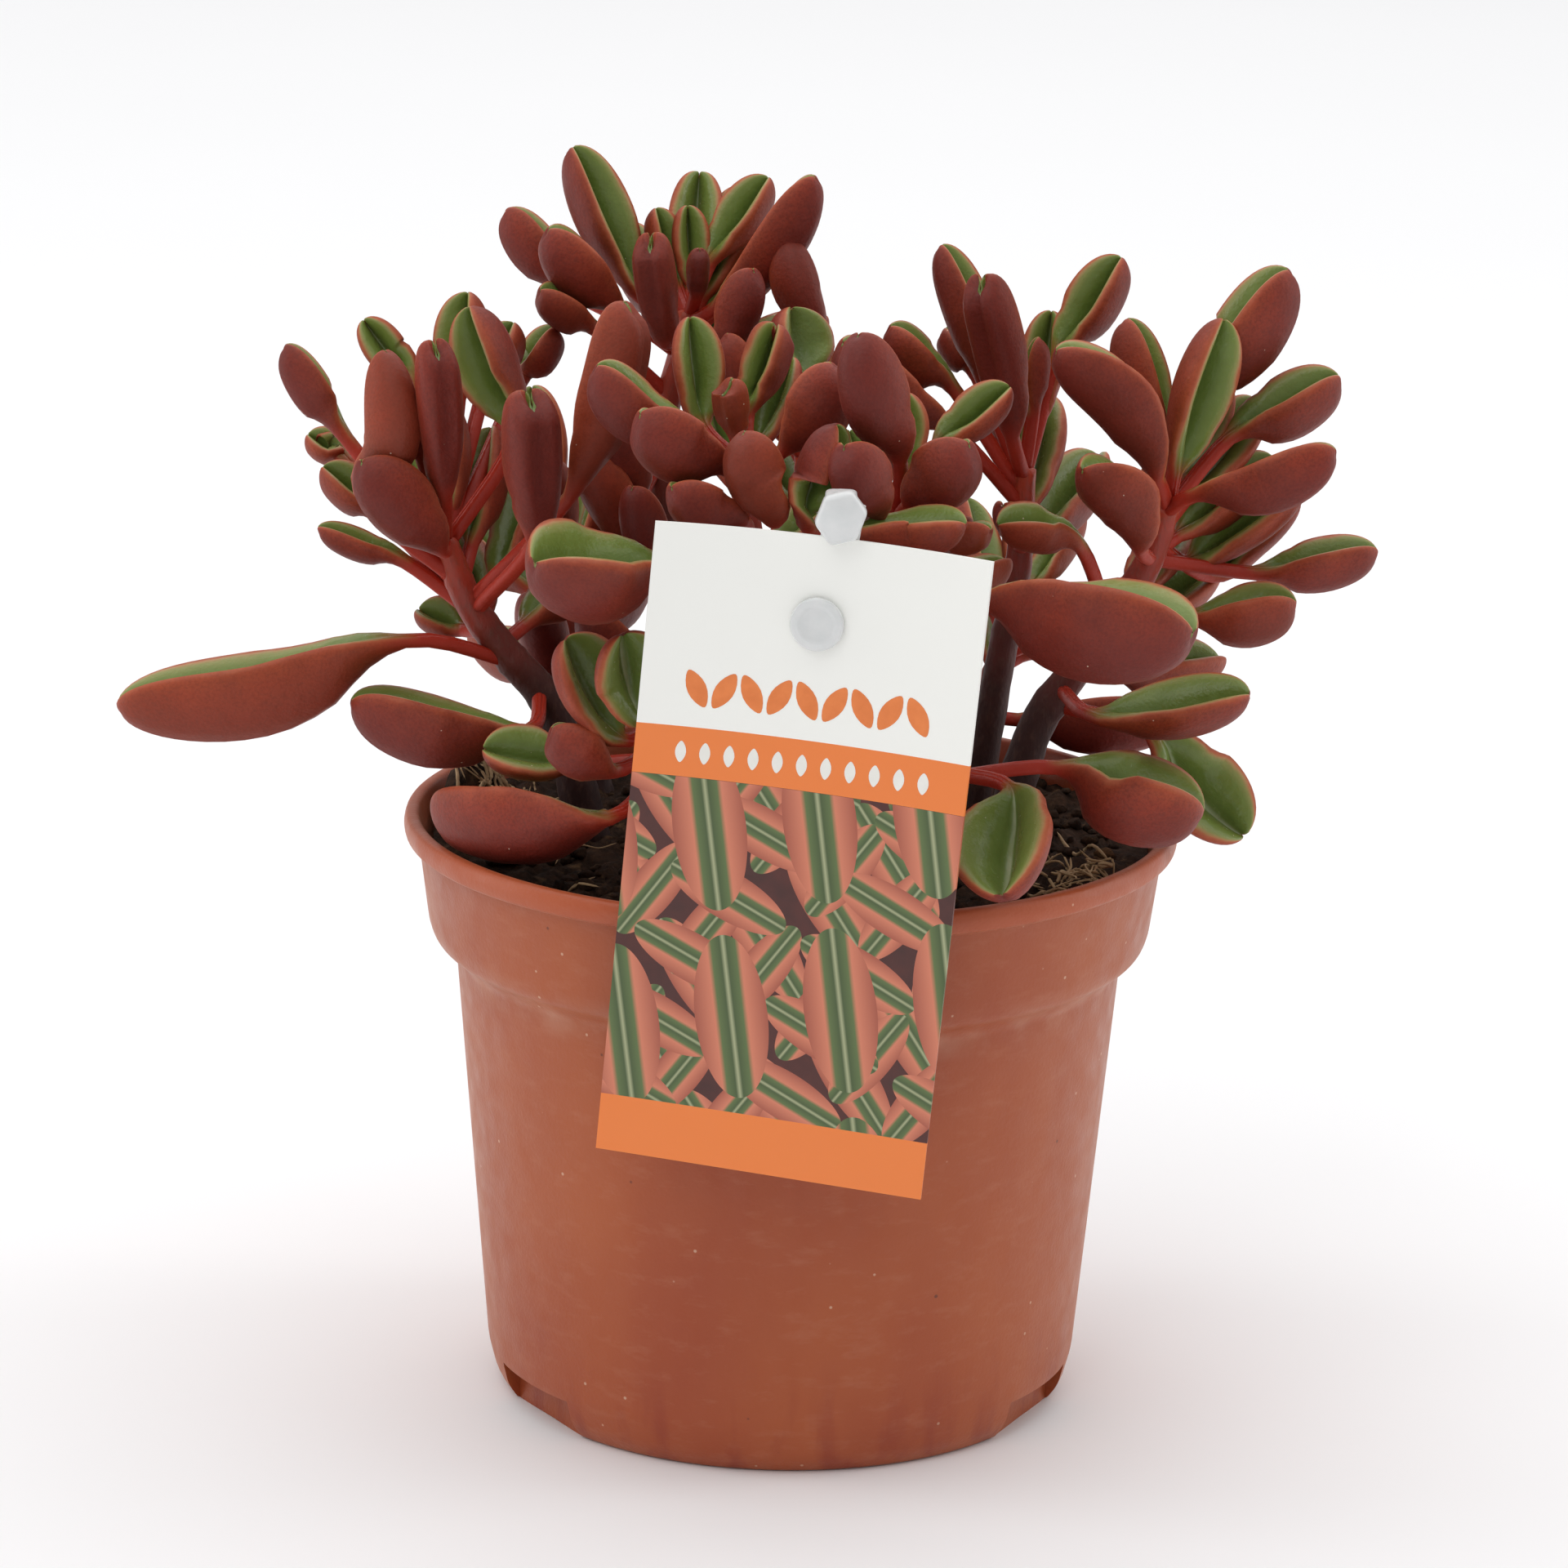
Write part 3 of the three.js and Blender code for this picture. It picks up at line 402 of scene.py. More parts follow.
def printed_card():
    """Offset print on smooth polypropylene sheet: warm white, and leaves between two orange bands."""
    finish, skin, add = new_finish("printed_card_stock", {"IOR": 1.49, "Coat Weight": 0.15,
                                                          "Coat Roughness": 0.2})
    sheet = add("UVMap", uv_map="card_print")
    millimetres = add("Mapping", {"Vector": sheet, "Scale": (CARD_WIDE, CARD_HIGH, 1)})
    up = add("SeparateXYZ", {"Vector": sheet}, output="Y")
    bands = add("ValToRGB", {"Fac": up}, stops=[
        (0.0, "#F28238"), (FOOT_BAND, "#3E1712"), (FIELD_TOP, "#F28238"), (BAND_TOP, "#FBFBF6")])
    bands.node.color_ramp.interpolation = "CONSTANT"
    field = add("Mix", {SHARE: spots(add, 4.0), UNDER: "#2E100D", OVER: "#5E241B"}, BLEND,
                data_type="RGBA")
    for turn, long, wide, shift in PRINTED_LEAVES:
        # a turned lattice of leaves: each cell holds one oval with a green stripe and salmon sides
        cells = add("Mapping", {"Vector": millimetres, "Rotation": (0, 0, math.radians(turn)),
                                "Location": (shift, shift * 0.37, 0)})
        cells = add("VectorMath", {0: cells, 1: (1 / long, 1 / wide, 0)}, operation="MULTIPLY")
        cells = add("VectorMath", {0: cells}, operation="FRACTION")
        cells = add("VectorMath", {0: cells, 1: (0.5, 0.5, 0)}, operation="SUBTRACT")
        away = add("VectorMath", {0: add("VectorMath", {0: cells, 1: (2.3, 3.0, 0)},
                                         operation="MULTIPLY")}, output="Value", operation="LENGTH")
        aside = add("Math", {0: add("SeparateXYZ", {"Vector": cells}, output="Y")},
                    operation="ABSOLUTE")
        inks = add("ValToRGB", {"Fac": aside}, stops=[
            (0.0, "#A9AE86"), (0.03, "#46582F"), (0.11, "#5E7140"), (0.15, "#D67F62"),
            (0.42, "#8A3526")])
        on_leaf = add("Math", {0: away, 1: 1.0}, operation="LESS_THAN")
        field = add("Mix", {SHARE: on_leaf, UNDER: field, OVER: inks}, BLEND, data_type="RGBA")
    inside = add("Math", {0: add("Math", {0: up, 1: FOOT_BAND}, operation="GREATER_THAN"),
                          1: add("Math", {0: up, 1: FIELD_TOP}, operation="LESS_THAN")},
                 operation="MULTIPLY")
    paint(add, skin, bands, [(inside, field)])
    spots(add, 6.0, span=(0.3, 0.7), to=(0.28, 0.4), into=skin["Roughness"])
    add("Bump", {"Height": spots(add, 14.0, 1.0), "Distance": 0.05 * MM, "Strength": 0.4},
        into=skin["Normal"])
    return finish


def print_ink(name, code, deeper):
    """Offset ink on the card, a little uneven."""
    finish, skin, add = new_finish(name, {"IOR": 1.49, "Roughness": 0.34, "Coat Weight": 0.15,
                                          "Coat Roughness": 0.2})
    paint(add, skin, code, [(spots(add, 1.8, span=(0.3, 0.7)), deeper)])
    return finish


def frosted_polypropylene():
    """Natural polypropylene, moulded without pigment: milky, satin, and light passes through it."""
    finish, skin, add = new_finish("frosted_polypropylene", {
        "IOR": 1.49, "Transmission Weight": 0.25, "Subsurface Weight": 0.3,
        "Subsurface Radius": (1.0, 1.0, 1.0), "Subsurface Scale": 2.0 * MM})
    paint(add, skin, "#FBFCFC", [(spots(add, 2.5, span=(0.3, 0.7)), "#F1F4F4")])
    spots(add, 1.0, span=(0, 1), to=(0.1, 0.3), into=skin["Roughness"])
    add("Bump", {"Height": spots(add, 3.0), "Distance": 0.06 * MM, "Strength": 0.4},
        into=skin["Normal"])
    return finish


def seamless_paper():
    """Matt studio paper."""
    finish, skin, add = new_finish("seamless_paper", {"Roughness": 0.9, "Specular IOR Level": 0.15})
    paint(add, skin, "#F3F3F4", [(spots(add, 300.0), "#F5F5F6")])
    return finish


# Leafy stems. path: [across, up, depth] from inside the soil to the crown. Each leaf row holds
# where it leaves the stem (0 soil, 1 crown), the blade's base and its tip [across, up, depth],
# the width of one half, the fold in degrees, how far the green face turns to the viewer,
# and the outward arch. hidden: leaves on the side that the photograph doesn't show, as their count
# and the ranges of their places on the stem, turns, rises and reaches.

LEAFY_STEMS = [
  {
    "name": "leafy_stem_back", "radius": [2.9, 1.8], "axis": [0.05, 0, 1],
    "path": [[-15, 84, 17], [-19, 120, 22], [-21, 148, 26], [-17, 170, 28]],
    "leaves": [
      [0.97, [-24, 172, 30], [-35.2, 195, 32], 7.8, 60, 0.6, 1],
      [0.92, [-35, 173, 38], [-45, 185.3, 41], 7.5, 66, -0.4, 0.6],
      [0.90, [-27, 170, 24], [-38.8, 182.3, 20], 8.6, 62, 0.1, 1],
      [0.80, [-31, 167, 22], [-39.9, 173, 17], 6, 64, 0.3, 0.4],
      [0.96, [-20.5, 165.5, 20], [-23.3, 182, 17], 6, 80, -1.5, 0.6],
      [0.99, [-19, 174, 31], [-22.5, 186, 33], 5.2, 64, 0.4, 0.4],
      [1.00, [-16.5, 174, 31], [-17.6, 186.5, 34], 5, 62, 0.3, 0.4],
      [1.00, [-16, 173, 24], [-15.6, 180, 23], 3, 66, 0.2, 0],
      [0.98, [-13, 171, 24], [1.8, 191.2, 20], 7.8, 66, 0.25, 1.8],
      [1.00, [-14, 178, 31], [-5.3, 191, 35], 6.5, 62, 0.5, 0.6],
      [0.93, [0.5, 165.5, 19], [-3, 182.3, 20], 6.4, 66, -0.5, 1.8],
      [0.90, [-12, 164, 15], [-7.3, 177, 12], 6, 66, 0.1, 0.6],
      [0.66, [-25, 141, 18], [-28.5, 157, 12], 7.6, 58, 0.3, 0.8],
      [0.58, [-24.5, 134, 16], [-32.5, 148.5, 12], 6.8, 62, 0.1, 0.8],
      [0.48, [-21, 128, 12], [-25.5, 143, 6], 6, 60, 0.2, 0.8],
      [0.34, [-23, 113, 13], [-33, 123.5, 6], 6.6, 58, 0.2, 0.8],
    ],
    "seed": 11, "hidden": [7, [0.82, 0.99], [35, 145], [18, 50], [21, 27]],
  },
  {
    "name": "leafy_stem_left", "radius": [3.1, 2], "axis": [-0.35, 0, 0.94],
    "path": [[-30, 84, -2], [-37, 107, -2], [-44, 116, -3], [-50, 124, -4], [-54, 134, -4]],
    "leaves": [
      [0.84, [-69, 149.5, 2], [-78.5, 163.8, 3], 6.2, 64, -0.6, 0.4],
      [0.90, [-59, 158, 8], [-66.5, 168, 11], 5.2, 60, 0.8, 0.6],
      [0.84, [-65.5, 139.5, -8], [-63, 163.5, -11], 7.2, 66, 0.1, 5],
      [0.98, [-57.5, 147, -8], [-64.5, 160.8, -12], 5.8, 66, 0.1, 0.6],
      [1.00, [-54, 141, -12], [-55.5, 165, -16], 6.4, 80, -1.5, 0.6],
      [1.00, [-52, 156, 10], [-50.5, 172.6, 14], 7, 62, 0.4, 0.4],
      [0.99, [-48, 158, 14], [-43.5, 168, 18], 6, 62, 0.3, 0.6],
      [0.98, [-43.5, 150, -2], [-50.3, 170.5, 0], 8.2, 60, 0.7, 0.6],
      [0.97, [-43, 158, 20], [-37, 167.5, 22], 5.4, 66, -0.3, 0.3],
      [0.72, [-40.3, 134, -20], [-41, 157.5, -23], 8.4, 80, -2, 0.6],
      [0.76, [-35, 141, -14], [-25.8, 171.5, -12], 8.4, 80, -0.3, 1.4],
      [0.99, [-54.5, 132.5, -12], [-67, 146, -17], 8.8, 60, 0.35, 0.6],
      [0.70, [-60, 130.5, 0], [-73.5, 135.5, 0], 4.2, 62, 0.1, 0.4],
      [0.72, [-63, 137, 6], [-72.8, 145, 8], 6, 62, 0.1, 0.4],
      [0.80, [-69, 146, 12], [-75, 150, 14], 4.6, 62, 0.2, 0.3],
      [0.47, [-60, 118, -10], [-104.5, 106.5, -12], 12.8, 60, 0.05, 3.4],
      [0.32, [-41, 104, -14], [-68.5, 108, -17], 11.6, 52, 0.3, 2.6],
      [0.62, [-51, 120, 4], [-58, 123, 8], 5, 54, 0.2, 0.3],
    ],
    "seed": 23, "hidden": [7, [0.55, 0.97], [50, 140], [12, 50], [22, 28]],
  },
  {
    "name": "leafy_stem_middle_left", "radius": [2.8, 1.8], "axis": [0, 0, 1],
    "path": [[-9, 76, -20], [-7, 118, -26], [-8, 147, -29]],
    "leaves": [
      [0.97, [-16, 151.5, -29], [-31.3, 161.5, -31], 8.8, 62, 0.1, 2.6],
      [0.99, [-14.5, 152.5, -24], [-17, 169.5, -20], 6, 56, 1.1, 0.4],
      [1.00, [-9.5, 151, -30], [-11, 160, -31], 4.6, 80, 0, 0.3],
      [1.00, [-8, 155, -25], [-3.5, 168.7, -22], 6.4, 80, 0.5, 0.6],
      [0.97, [-2.5, 149, -31], [5, 162.8, -31], 9.2, 66, -0.2, 1.8],
      [0.90, [-11, 146, -38], [-24.6, 154.3, -43], 9.2, 64, 0, 1.8],
      [0.80, [-8.5, 138, -42], [-19.6, 143, -48], 6.6, 60, 0.2, 1.2],
      [0.92, [-3.5, 138, -44], [-8.6, 152, -45], 7.4, 64, 0.75, 1.2],
    ],
    "seed": 37, "hidden": [3, [0.72, 0.97], [60, 150], [10, 45], [17, 21]],
  },
  {
    "name": "leafy_stem_middle_right", "radius": [2.7, 1.8], "axis": [0, 0, 1],
    "path": [[9, 76, -17], [13, 116, -24], [15, 139, -28]],
    "leaves": [
      [0.95, [15.5, 148, -37], [8.5, 167.5, -41.5], 8.6, 64, 0, 2.4],
      [1.00, [16.5, 146, -25], [15.6, 158.6, -21], 5.6, 56, 0.9, 0.8],
      [0.90, [1.8, 137, -44], [5.5, 153.5, -46], 6.6, 54, 1.1, 0.8],
      [0.98, [12.5, 139.5, -45], [6.7, 150, -51], 7.8, 66, 0, 0.8],
      [0.97, [17, 141, -36], [26.2, 150.8, -40], 8.8, 66, 0, 1],
      [1.00, [21, 150, -20], [32, 159.7, -17], 6, 62, 0.6, 0.6],
      [0.86, [9.5, 136.5, -46], [26, 138, -49], 7.4, 46, 0.9, 0.8],
      [0.80, [21, 135.5, -38], [29.8, 137.3, -42], 4.8, 60, 0.2, 0.4],
    ],
    "seed": 41, "hidden": [3, [0.7, 0.95], [40, 140], [5, 30], [15, 19]],
  },
  {
    "name": "leafy_stem_middle_back", "radius": [2.8, 1.8], "axis": [0, 0.1, 1],
    "path": [[0, 84, 6], [2, 118, 8], [1, 150, 10]],
    "leaves": [
      [0.99, [0.5, 159, 6], [-1.8, 171.3, 9], 8.4, 38, 1.2, 0.4],
      [0.97, [-7, 156, 6], [-11.5, 167, 6], 5, 64, 0, 0.4],
    ],
    "seed": 59, "hidden": [7, [0.72, 0.99], [30, 130], [8, 40], [19, 24]],
  },
  {
    "name": "leafy_stem_inner_right", "radius": [2.6, 1.8], "axis": [0.05, 0, 1],
    "path": [[27, 84, 9], [31, 112, 10], [34, 132, 10], [34.5, 147, 10]],
    "leaves": [
      [0.94, [28.5, 159, 12], [20.7, 181.3, 14], 6.4, 66, 0.3, -0.6],
      [0.97, [32.5, 152, 4], [26.6, 176.6, 1], 6.8, 72, -0.8, -0.8],
      [1.00, [35.5, 156, 10], [36.2, 167.5, 10], 3.6, 66, 0.1, 0],
      [0.98, [39, 164, 15], [48.3, 180, 17], 7.4, 64, 0.45, 0.8],
      [0.86, [23, 153, 2], [6, 166, -5], 10.2, 62, 0.1, 2.6],
      [0.90, [23.5, 159, 9], [13.2, 168.6, 7], 7, 62, 0.2, 1],
      [0.92, [27, 161, 19], [21.6, 168.5, 21], 5, 64, 0, 0.4],
      [0.72, [34.5, 136, 2], [31.3, 141.5, -2], 4.6, 54, 0.3, 0.3],
    ],
    "seed": 67, "hidden": [5, [0.7, 0.99], [65, 125], [20, 60], [20, 25]],
  },
  {
    "name": "leafy_stem_right", "radius": [3.1, 2], "axis": [0.4, 0, 0.92],
    "path": [[32, 84, -6], [37, 105, -6], [43.5, 116, -6], [53, 131, -6], [56.5, 141.5, -6]],
    "leaves": [
      [1.00, [54.8, 146, -13], [38.4, 165.3, -17], 9.6, 64, 0.1, -3],
      [1.00, [56, 150, -2], [49, 170.6, 1], 7.6, 66, 0, 0.6],
      [1.00, [57.5, 147, -8], [63.8, 171, -5], 7.6, 54, 0.9, 0.8],
      [0.98, [59, 156.5, 4], [73.8, 178.5, 3], 10.6, 58, -0.9, 1],
      [0.97, [65.5, 152.5, 0], [82, 162.3, 2], 8.4, 66, 0, 1],
      [0.98, [60.5, 143.5, -12], [82, 150.8, -15], 8.6, 62, 0.15, 2],
      [0.86, [60, 133, 0], [77.2, 146.3, 3], 7.6, 60, 0.7, 0.8],
      [0.86, [63.5, 131, 8], [76.5, 143.7, 11], 5.6, 62, 0.5, 0.6],
      [0.80, [52.5, 135, -20], [43, 147, -26], 8.8, 62, 0.15, -2.4],
      [0.80, [70, 131.5, 2], [89, 135.3, 4], 7.4, 62, -0.1, 1],
      [0.62, [43.5, 135, -16], [30.5, 138, -21], 6.6, 54, 0.3, -0.8],
      [0.70, [60.5, 124.5, -6], [77, 126.8, -8], 9, 60, 0.1, 1.4],
      [0.42, [46.5, 108.4, -24], [70.5, 112.2, -27], 8.4, 44, 0.9, 1.4],
      [0.36, [55, 106, -12], [70.5, 89.5, -14], 9, 44, 1, 2.2],
    ],
    "seed": 71, "hidden": [7, [0.5, 0.98], [40, 100], [12, 50], [21, 27]],
  },
  {
    "name": "leafy_stem_low_front_left", "radius": [2.4, 1.8], "axis": [0.1, 0.2, 0.97],
    "path": [[-21, 73, -30], [-21, 102, -35], [-18, 121, -38]],
    "leaves": [
      [0.95, [-20, 130, -43], [-40.5, 130.5, -55], 14, 50, 0.5, 2],
      [0.60, [-26.5, 103, -40], [-35.5, 119, -41], 8.4, 42, 1.6, 1],
      [0.62, [-23.5, 106, -46], [-26.5, 120, -49], 8, 40, 2.4, 0.8],
      [0.50, [-27.5, 98, -40], [-37.5, 104.5, -41], 8, 54, 0.1, 0.8],
      [0.40, [-28, 90.5, -41], [-54.5, 90, -19], 12.2, 50, 0.2, 1.6],
      [0.46, [-33, 99, -27], [-48, 101, -27], 6.4, 46, 0.6, 0.6],
    ],
    "seed": 1, "hidden": None,
  },
  {
    "name": "leafy_stem_low_front_right", "radius": [2.4, 1.8], "axis": [-0.1, 0.2, 0.97],
    "path": [[22, 73, -28], [24, 103, -34], [20, 118, -38]],
    "leaves": [
      [0.96, [28, 126, -43], [61.5, 121.5, -56], 16.4, 56, 0.08, 1.6],
      [0.40, [41, 100, -33], [64, 93, -36], 13.4, 54, 0.06, 1.6],
      [0.42, [34, 96.5, -43], [33, 79, -64], 10.4, 46, 1.6, 0.4],
    ],
    "seed": 1, "hidden": None,
  },
  {
    "name": "leafy_stem_far_left", "radius": [2.7, 1.8], "axis": [-0.2, 0.25, 0.95],
    "path": [[-28, 84, 26], [-33, 110, 32], [-37, 134, 38]],
    "leaves": [
      [0.36, [-36.5, 111, 25], [-41, 126, 20], 6.6, 60, 0.2, 0.6],
      [0.80, [-36, 131, 30], [-38, 147, 27], 6.4, 60, 0, 0.6],
    ],
    "seed": 83, "hidden": [9, [0.5, 1], [-10, 190], [10, 66], [21, 27]],
  },
  {
    "name": "leafy_stem_far_right", "radius": [2.7, 1.8], "axis": [0.25, 0.3, 0.93],
    "path": [[24, 84, 28], [29, 108, 37], [34, 124, 45]],
    "leaves": [],
    "seed": 97, "hidden": [8, [0.5, 1], [-10, 170], [14, 64], [21, 27]],
  },
]

GOLDEN_TURN = 137.5
HIDDEN_HALF, HIDDEN_FOLDS = 0.36, (56, 68)  # a hidden leaf's half as a share of its reach, its fold

LEAF_AROUND, LEAF_ALONG, STEM_AROUND, STEM_ALONG = 36, 30, 20, 48
CAP, NECK = 1 / 6, 2 / 6  # where a leaf's end cap and its stalk end along the ball, as in the part
CROWDED = 1.4  # the points across a blade lie closer together towards its margin
SCAR_TURNS, SCAR_RISE, STEM_ROUGHNESS = 34, 0.07, 0.07


def blade_swell(q, is_young):
    if q < WIDEST:
        return math.sin(math.pi / 2 * q / WIDEST) ** FOOT_TAPER
    past = (q - WIDEST) / (1 - WIDEST)
    blunt = YOUNG_BLUNT if is_young else BLUNT
    return max(0.0, 1 - past ** blunt) ** (1 / blunt)


def blade_section(u, is_outer, q, half, fold):
    """Offset from the spine, sideways and towards the green face. u runs from midrib to margin."""
    is_young = fold > YOUNG_FOLD
    swell = blade_swell(q, is_young)
    is_past = q > WIDEST
    width = half * swell if is_past else between(STALK_RADIUS, half, swell)
    full = THINNEST + THICKER * half
    thick = full * swell ** EDGE_TAPER if is_past else between(2 * STALK_RADIUS, full, swell)
    blade = min(1, q / BLADE_FOOT)
    bend = YOUNG_BEND if is_young else BEND
    lift = math.radians(fold) * (0.25 + 0.75 * blade)
    arc = width * bend / lift
    angle = lift * min(1, u / bend)
    straight = max(0, u - bend) * width
    groove = between(0.9, 0.15, blade)
    skin = thick / 2 * math.sqrt(max(0, 1 - u ** 3))
    if is_outer:
        skin *= -(1 + 0.2 * blade * math.sin(math.pi * u))
    else:
        skin *= between(groove, 1, held(u / 0.45))

    def rise(a, run):
        return arc * (1 - math.cos(a)) + run * math.sin(lift)

    side = arc * math.sin(angle) + straight * math.cos(lift) - skin * math.sin(angle)
    face = (rise(angle, straight) + skin * math.cos(angle)
            - CENTRE * blade * rise(lift, (1 - bend) * width))
    if is_outer:
        # the two halves of a young leaf are plump, with a valley between them down the back
        valley = YOUNG_VALLEY if is_young else VALLEY
        across = side / (VALLEY_WIDTH * thick)
        face += valley * thick * eased(q, 0.1, 0.45) * math.exp(-across ** 2)
    return side, face


def marked_shape():
    """An empty bmesh with the marks that the leaf and stem finishes read."""
    shape = bmesh.new()
    for name in ("blade_turn", "blade_along", "leaf_age", "stem_share"):
        shape.verts.layers.float.new(name)
    return shape, shape.verts.layers.float


def leaf(root, base, tip, axis, half, fold, facing, arch, age):
    """A thick blade folded along its midrib like a canoe, on a round stalk."""
    shape, marks = marked_shape()
    lean = tip - root
    outward = (lean - axis * lean.dot(axis)).normalized()
    green_side = (axis - outward + TO_VIEWER * facing).normalized()
    along = (tip - base).normalized()
    inward = (green_side - along * green_side.dot(along)).normalized()
    middle = base.lerp(tip, 0.5) - inward * arch
    spine = Route([root, base, middle, tip])
    notch = YOUNG_NOTCH if fold > YOUNG_FOLD else TIP_NOTCH
    rings = {}

    def ring(share):
        key = round(share, 5)
        if key not in rings:
            q = math.sin(math.pi / 2 * held((share - NECK) / (1 - NECK)))
            t = (held((share - CAP) / (NECK - CAP)) + 2 * q) / 3
            heading = spine.heading(t)
            normal = (green_side - heading * green_side.dot(heading)).normalized()
            rings[key] = (q, t, spine.point(t), heading, normal, normal.cross(heading))
        return rings[key]

    def place(vert, share, turn):
        q, t, spot, heading, normal, side = ring(share)
        from_keel = math.atan2(abs(turn[1]), -turn[0]) / math.pi if turn else 0
        is_outer = from_keel <= MARGIN_TURN + 1e-3
        to_midrib = from_keel / MARGIN_TURN if is_outer else (1 - from_keel) / (1 - MARGIN_TURN)
        u = 1 - (1 - held(to_midrib)) ** CROWDED
        vert[marks["blade_turn"]] = (u - 1) if is_outer else (1 - u)
        vert[marks["blade_along"]] = t
        vert[marks["leaf_age"]] = age
        spot = spot - heading * notch * eased(q, 0.75, 1) * (1 - u) ** 2
        if not turn:
            return spot
        aside, face = blade_section(u, is_outer, q, half, fold)
        which = -math.copysign(1, turn[1]) if abs(turn[1]) > 1e-3 else 0
        return spot + side * which * aside + normal * face

    shaped_ball(shape, LEAF_AROUND, LEAF_ALONG, place)
    return shape


def stem(path, root_radius, crown_radius, seed):
    """A tapered shoot with the low ring scars that fallen leaves leave."""
    shape, marks = marked_shape()
    cap = 1 / STEM_ALONG

    def place(vert, share, turn):
        t = held((share - cap) / (1 - 2 * cap))
        heading = path.heading(t)
        side = TO_VIEWER.cross(heading).normalized()
        front = heading.cross(side)
        vert[marks["stem_share"]] = t
        spot = path.point(t)
        if not turn:
            return spot + heading * crown_radius * (0.6 if share > 0.5 else -0.2)
        radius = between(root_radius, crown_radius, t)
        scar = max(0, math.sin(t * SCAR_TURNS + seed)) ** 6
        rough = noise.noise(spot * 0.35 + Vector((turn[0], turn[1], seed)) * 1.3)
        radius *= 1 + SCAR_RISE * scar + STEM_ROUGHNESS * rough
        return spot - side * turn[0] * radius - front * turn[1] * radius

    shaped_ball(shape, STEM_AROUND, STEM_ALONG, place, finish=1)
    return shape


def hidden_leaves(plan, path, axis):
    """Leaves spiral up the stem: each is one golden turn past the last, folded into the range of turns."""
    count, places, (first_turn, last_turn), rises, reaches = plan["hidden"]
    draw = drawer(plan["seed"])
    across = Vector((0, 1, 0)).cross(axis).normalized()
    back = axis.cross(across)
    for i in range(count):
        share = i / (count - 1)
        turn = math.radians(first_turn + i * GOLDEN_TURN % (last_turn - first_turn))
        rise = math.radians(between(*rises, share) + draw(-5, 5))
        reach = draw(*reaches) * (1 - 0.25 * share)
        root = path.point(between(*places, share))
        outward = across * math.cos(turn) + back * math.sin(turn)
        heading = outward * math.cos(rise) + axis * math.sin(rise)
        base = root + heading * (5 + draw(0, 3))
        tip = base + heading * reach + axis * 0.12 * reach
        yield root, base, tip, HIDDEN_HALF * reach, draw(*HIDDEN_FOLDS), 0, 0.05 * reach


def leafy_stem(plan, finishes):
    axis = Vector(plan["axis"]).normalized()
    path = Route([seen(*spot) for spot in plan["path"]])
    ages = drawer(plan["seed"] * 7 + 3)
    parts = [stem(path, *plan["radius"], plan["seed"])]
    rows = [(path.point(at), seen(*base), seen(*tip), half, fold, facing, arch)
            for at, base, tip, half, fold, facing, arch in plan["leaves"]]
    if plan["hidden"]:
        rows += hidden_leaves(plan, path, axis)
    for root, base, tip, half, fold, facing, arch in rows:
        parts.append(leaf(root, base, tip, axis, half, fold, facing, arch, ages(0, 1)))
    finish_piece(plan["name"] + "_grown", join_parts(parts), finishes, [plan["name"]])


# Pot


def turned(shape, profile, steps):
    """Spins a closed profile of (radius, height) corners round the pot's axis."""
    corners = [shape.verts.new((radius, 0, height)) for radius, height in profile]
    edges = [shape.edges.new(pair) for pair in zip(corners, corners[1:])]
    bmesh.ops.spin(shape, geom=corners + edges, axis=(0, 0, 1), cent=(0, 0, 0),
                   angle=2 * math.pi, steps=steps, use_merge=True)
    bmesh.ops.remove_doubles(shape, verts=shape.verts, dist=1e-4)
    bmesh.ops.recalc_face_normals(shape, faces=shape.faces)


def rounded(corners, radius, steps=5):
    """The same outline with each corner listed in radius turned into a small arc."""
    outline = []
    for i, corner in enumerate(corners):
        spot = Vector(corner)
        if i not in radius:
            outline.append(tuple(spot))
            continue
        before, after = Vector(corners[i - 1]) - spot, Vector(corners[i + 1]) - spot
        cut = min(radius[i], before.length * 0.45, after.length * 0.45)
        start, end = spot + before.normalized() * cut, spot + after.normalized() * cut
        for k in range(steps + 1):
            w = k / steps
            outline.append(tuple((1 - w) ** 2 * start + 2 * w * (1 - w) * spot + w ** 2 * end))
    return outline


def pot_profile():
    outside = [
        (PAD_RADIUS, 0), (PAD_RADIUS + 1, FLOOR_UNDER), (40.6, FLOOR_UNDER), (41.6, 0), (43.4, 0),
        (45.2, 2.6), (46.3, 6.9), (51.7, STEP_HEIGHT), (53, 71.6), (55.2, 73.2), (56, 75.4),
        (57.7, LIP_UNDER), (59.6, LIP_UNDER + 0.5), (RIM_RADIUS, 90.4),
        (RIM_RADIUS - 0.5, POT_HEIGHT),
    ]
    inside = [
        (57.7, POT_HEIGHT), (57.6 - POT_WALL, 88), (55.8 - POT_WALL, 75.6),
        (51.7 - POT_WALL, STEP_HEIGHT + 1), (46.6 - POT_WALL, 10), (43.4, FLOOR_TOP),
    ]
    corners = [(0, 0), *outside, *inside, (0, FLOOR_TOP)]
    softened = {i: 1.2 for i in range(2, len(corners) - 1)}
    softened.update({8: 0.8, 12: 0.4, 13: 0.6, 14: 0.9, 15: 0.8, 16: 0.8})
    return rounded(corners, softened)


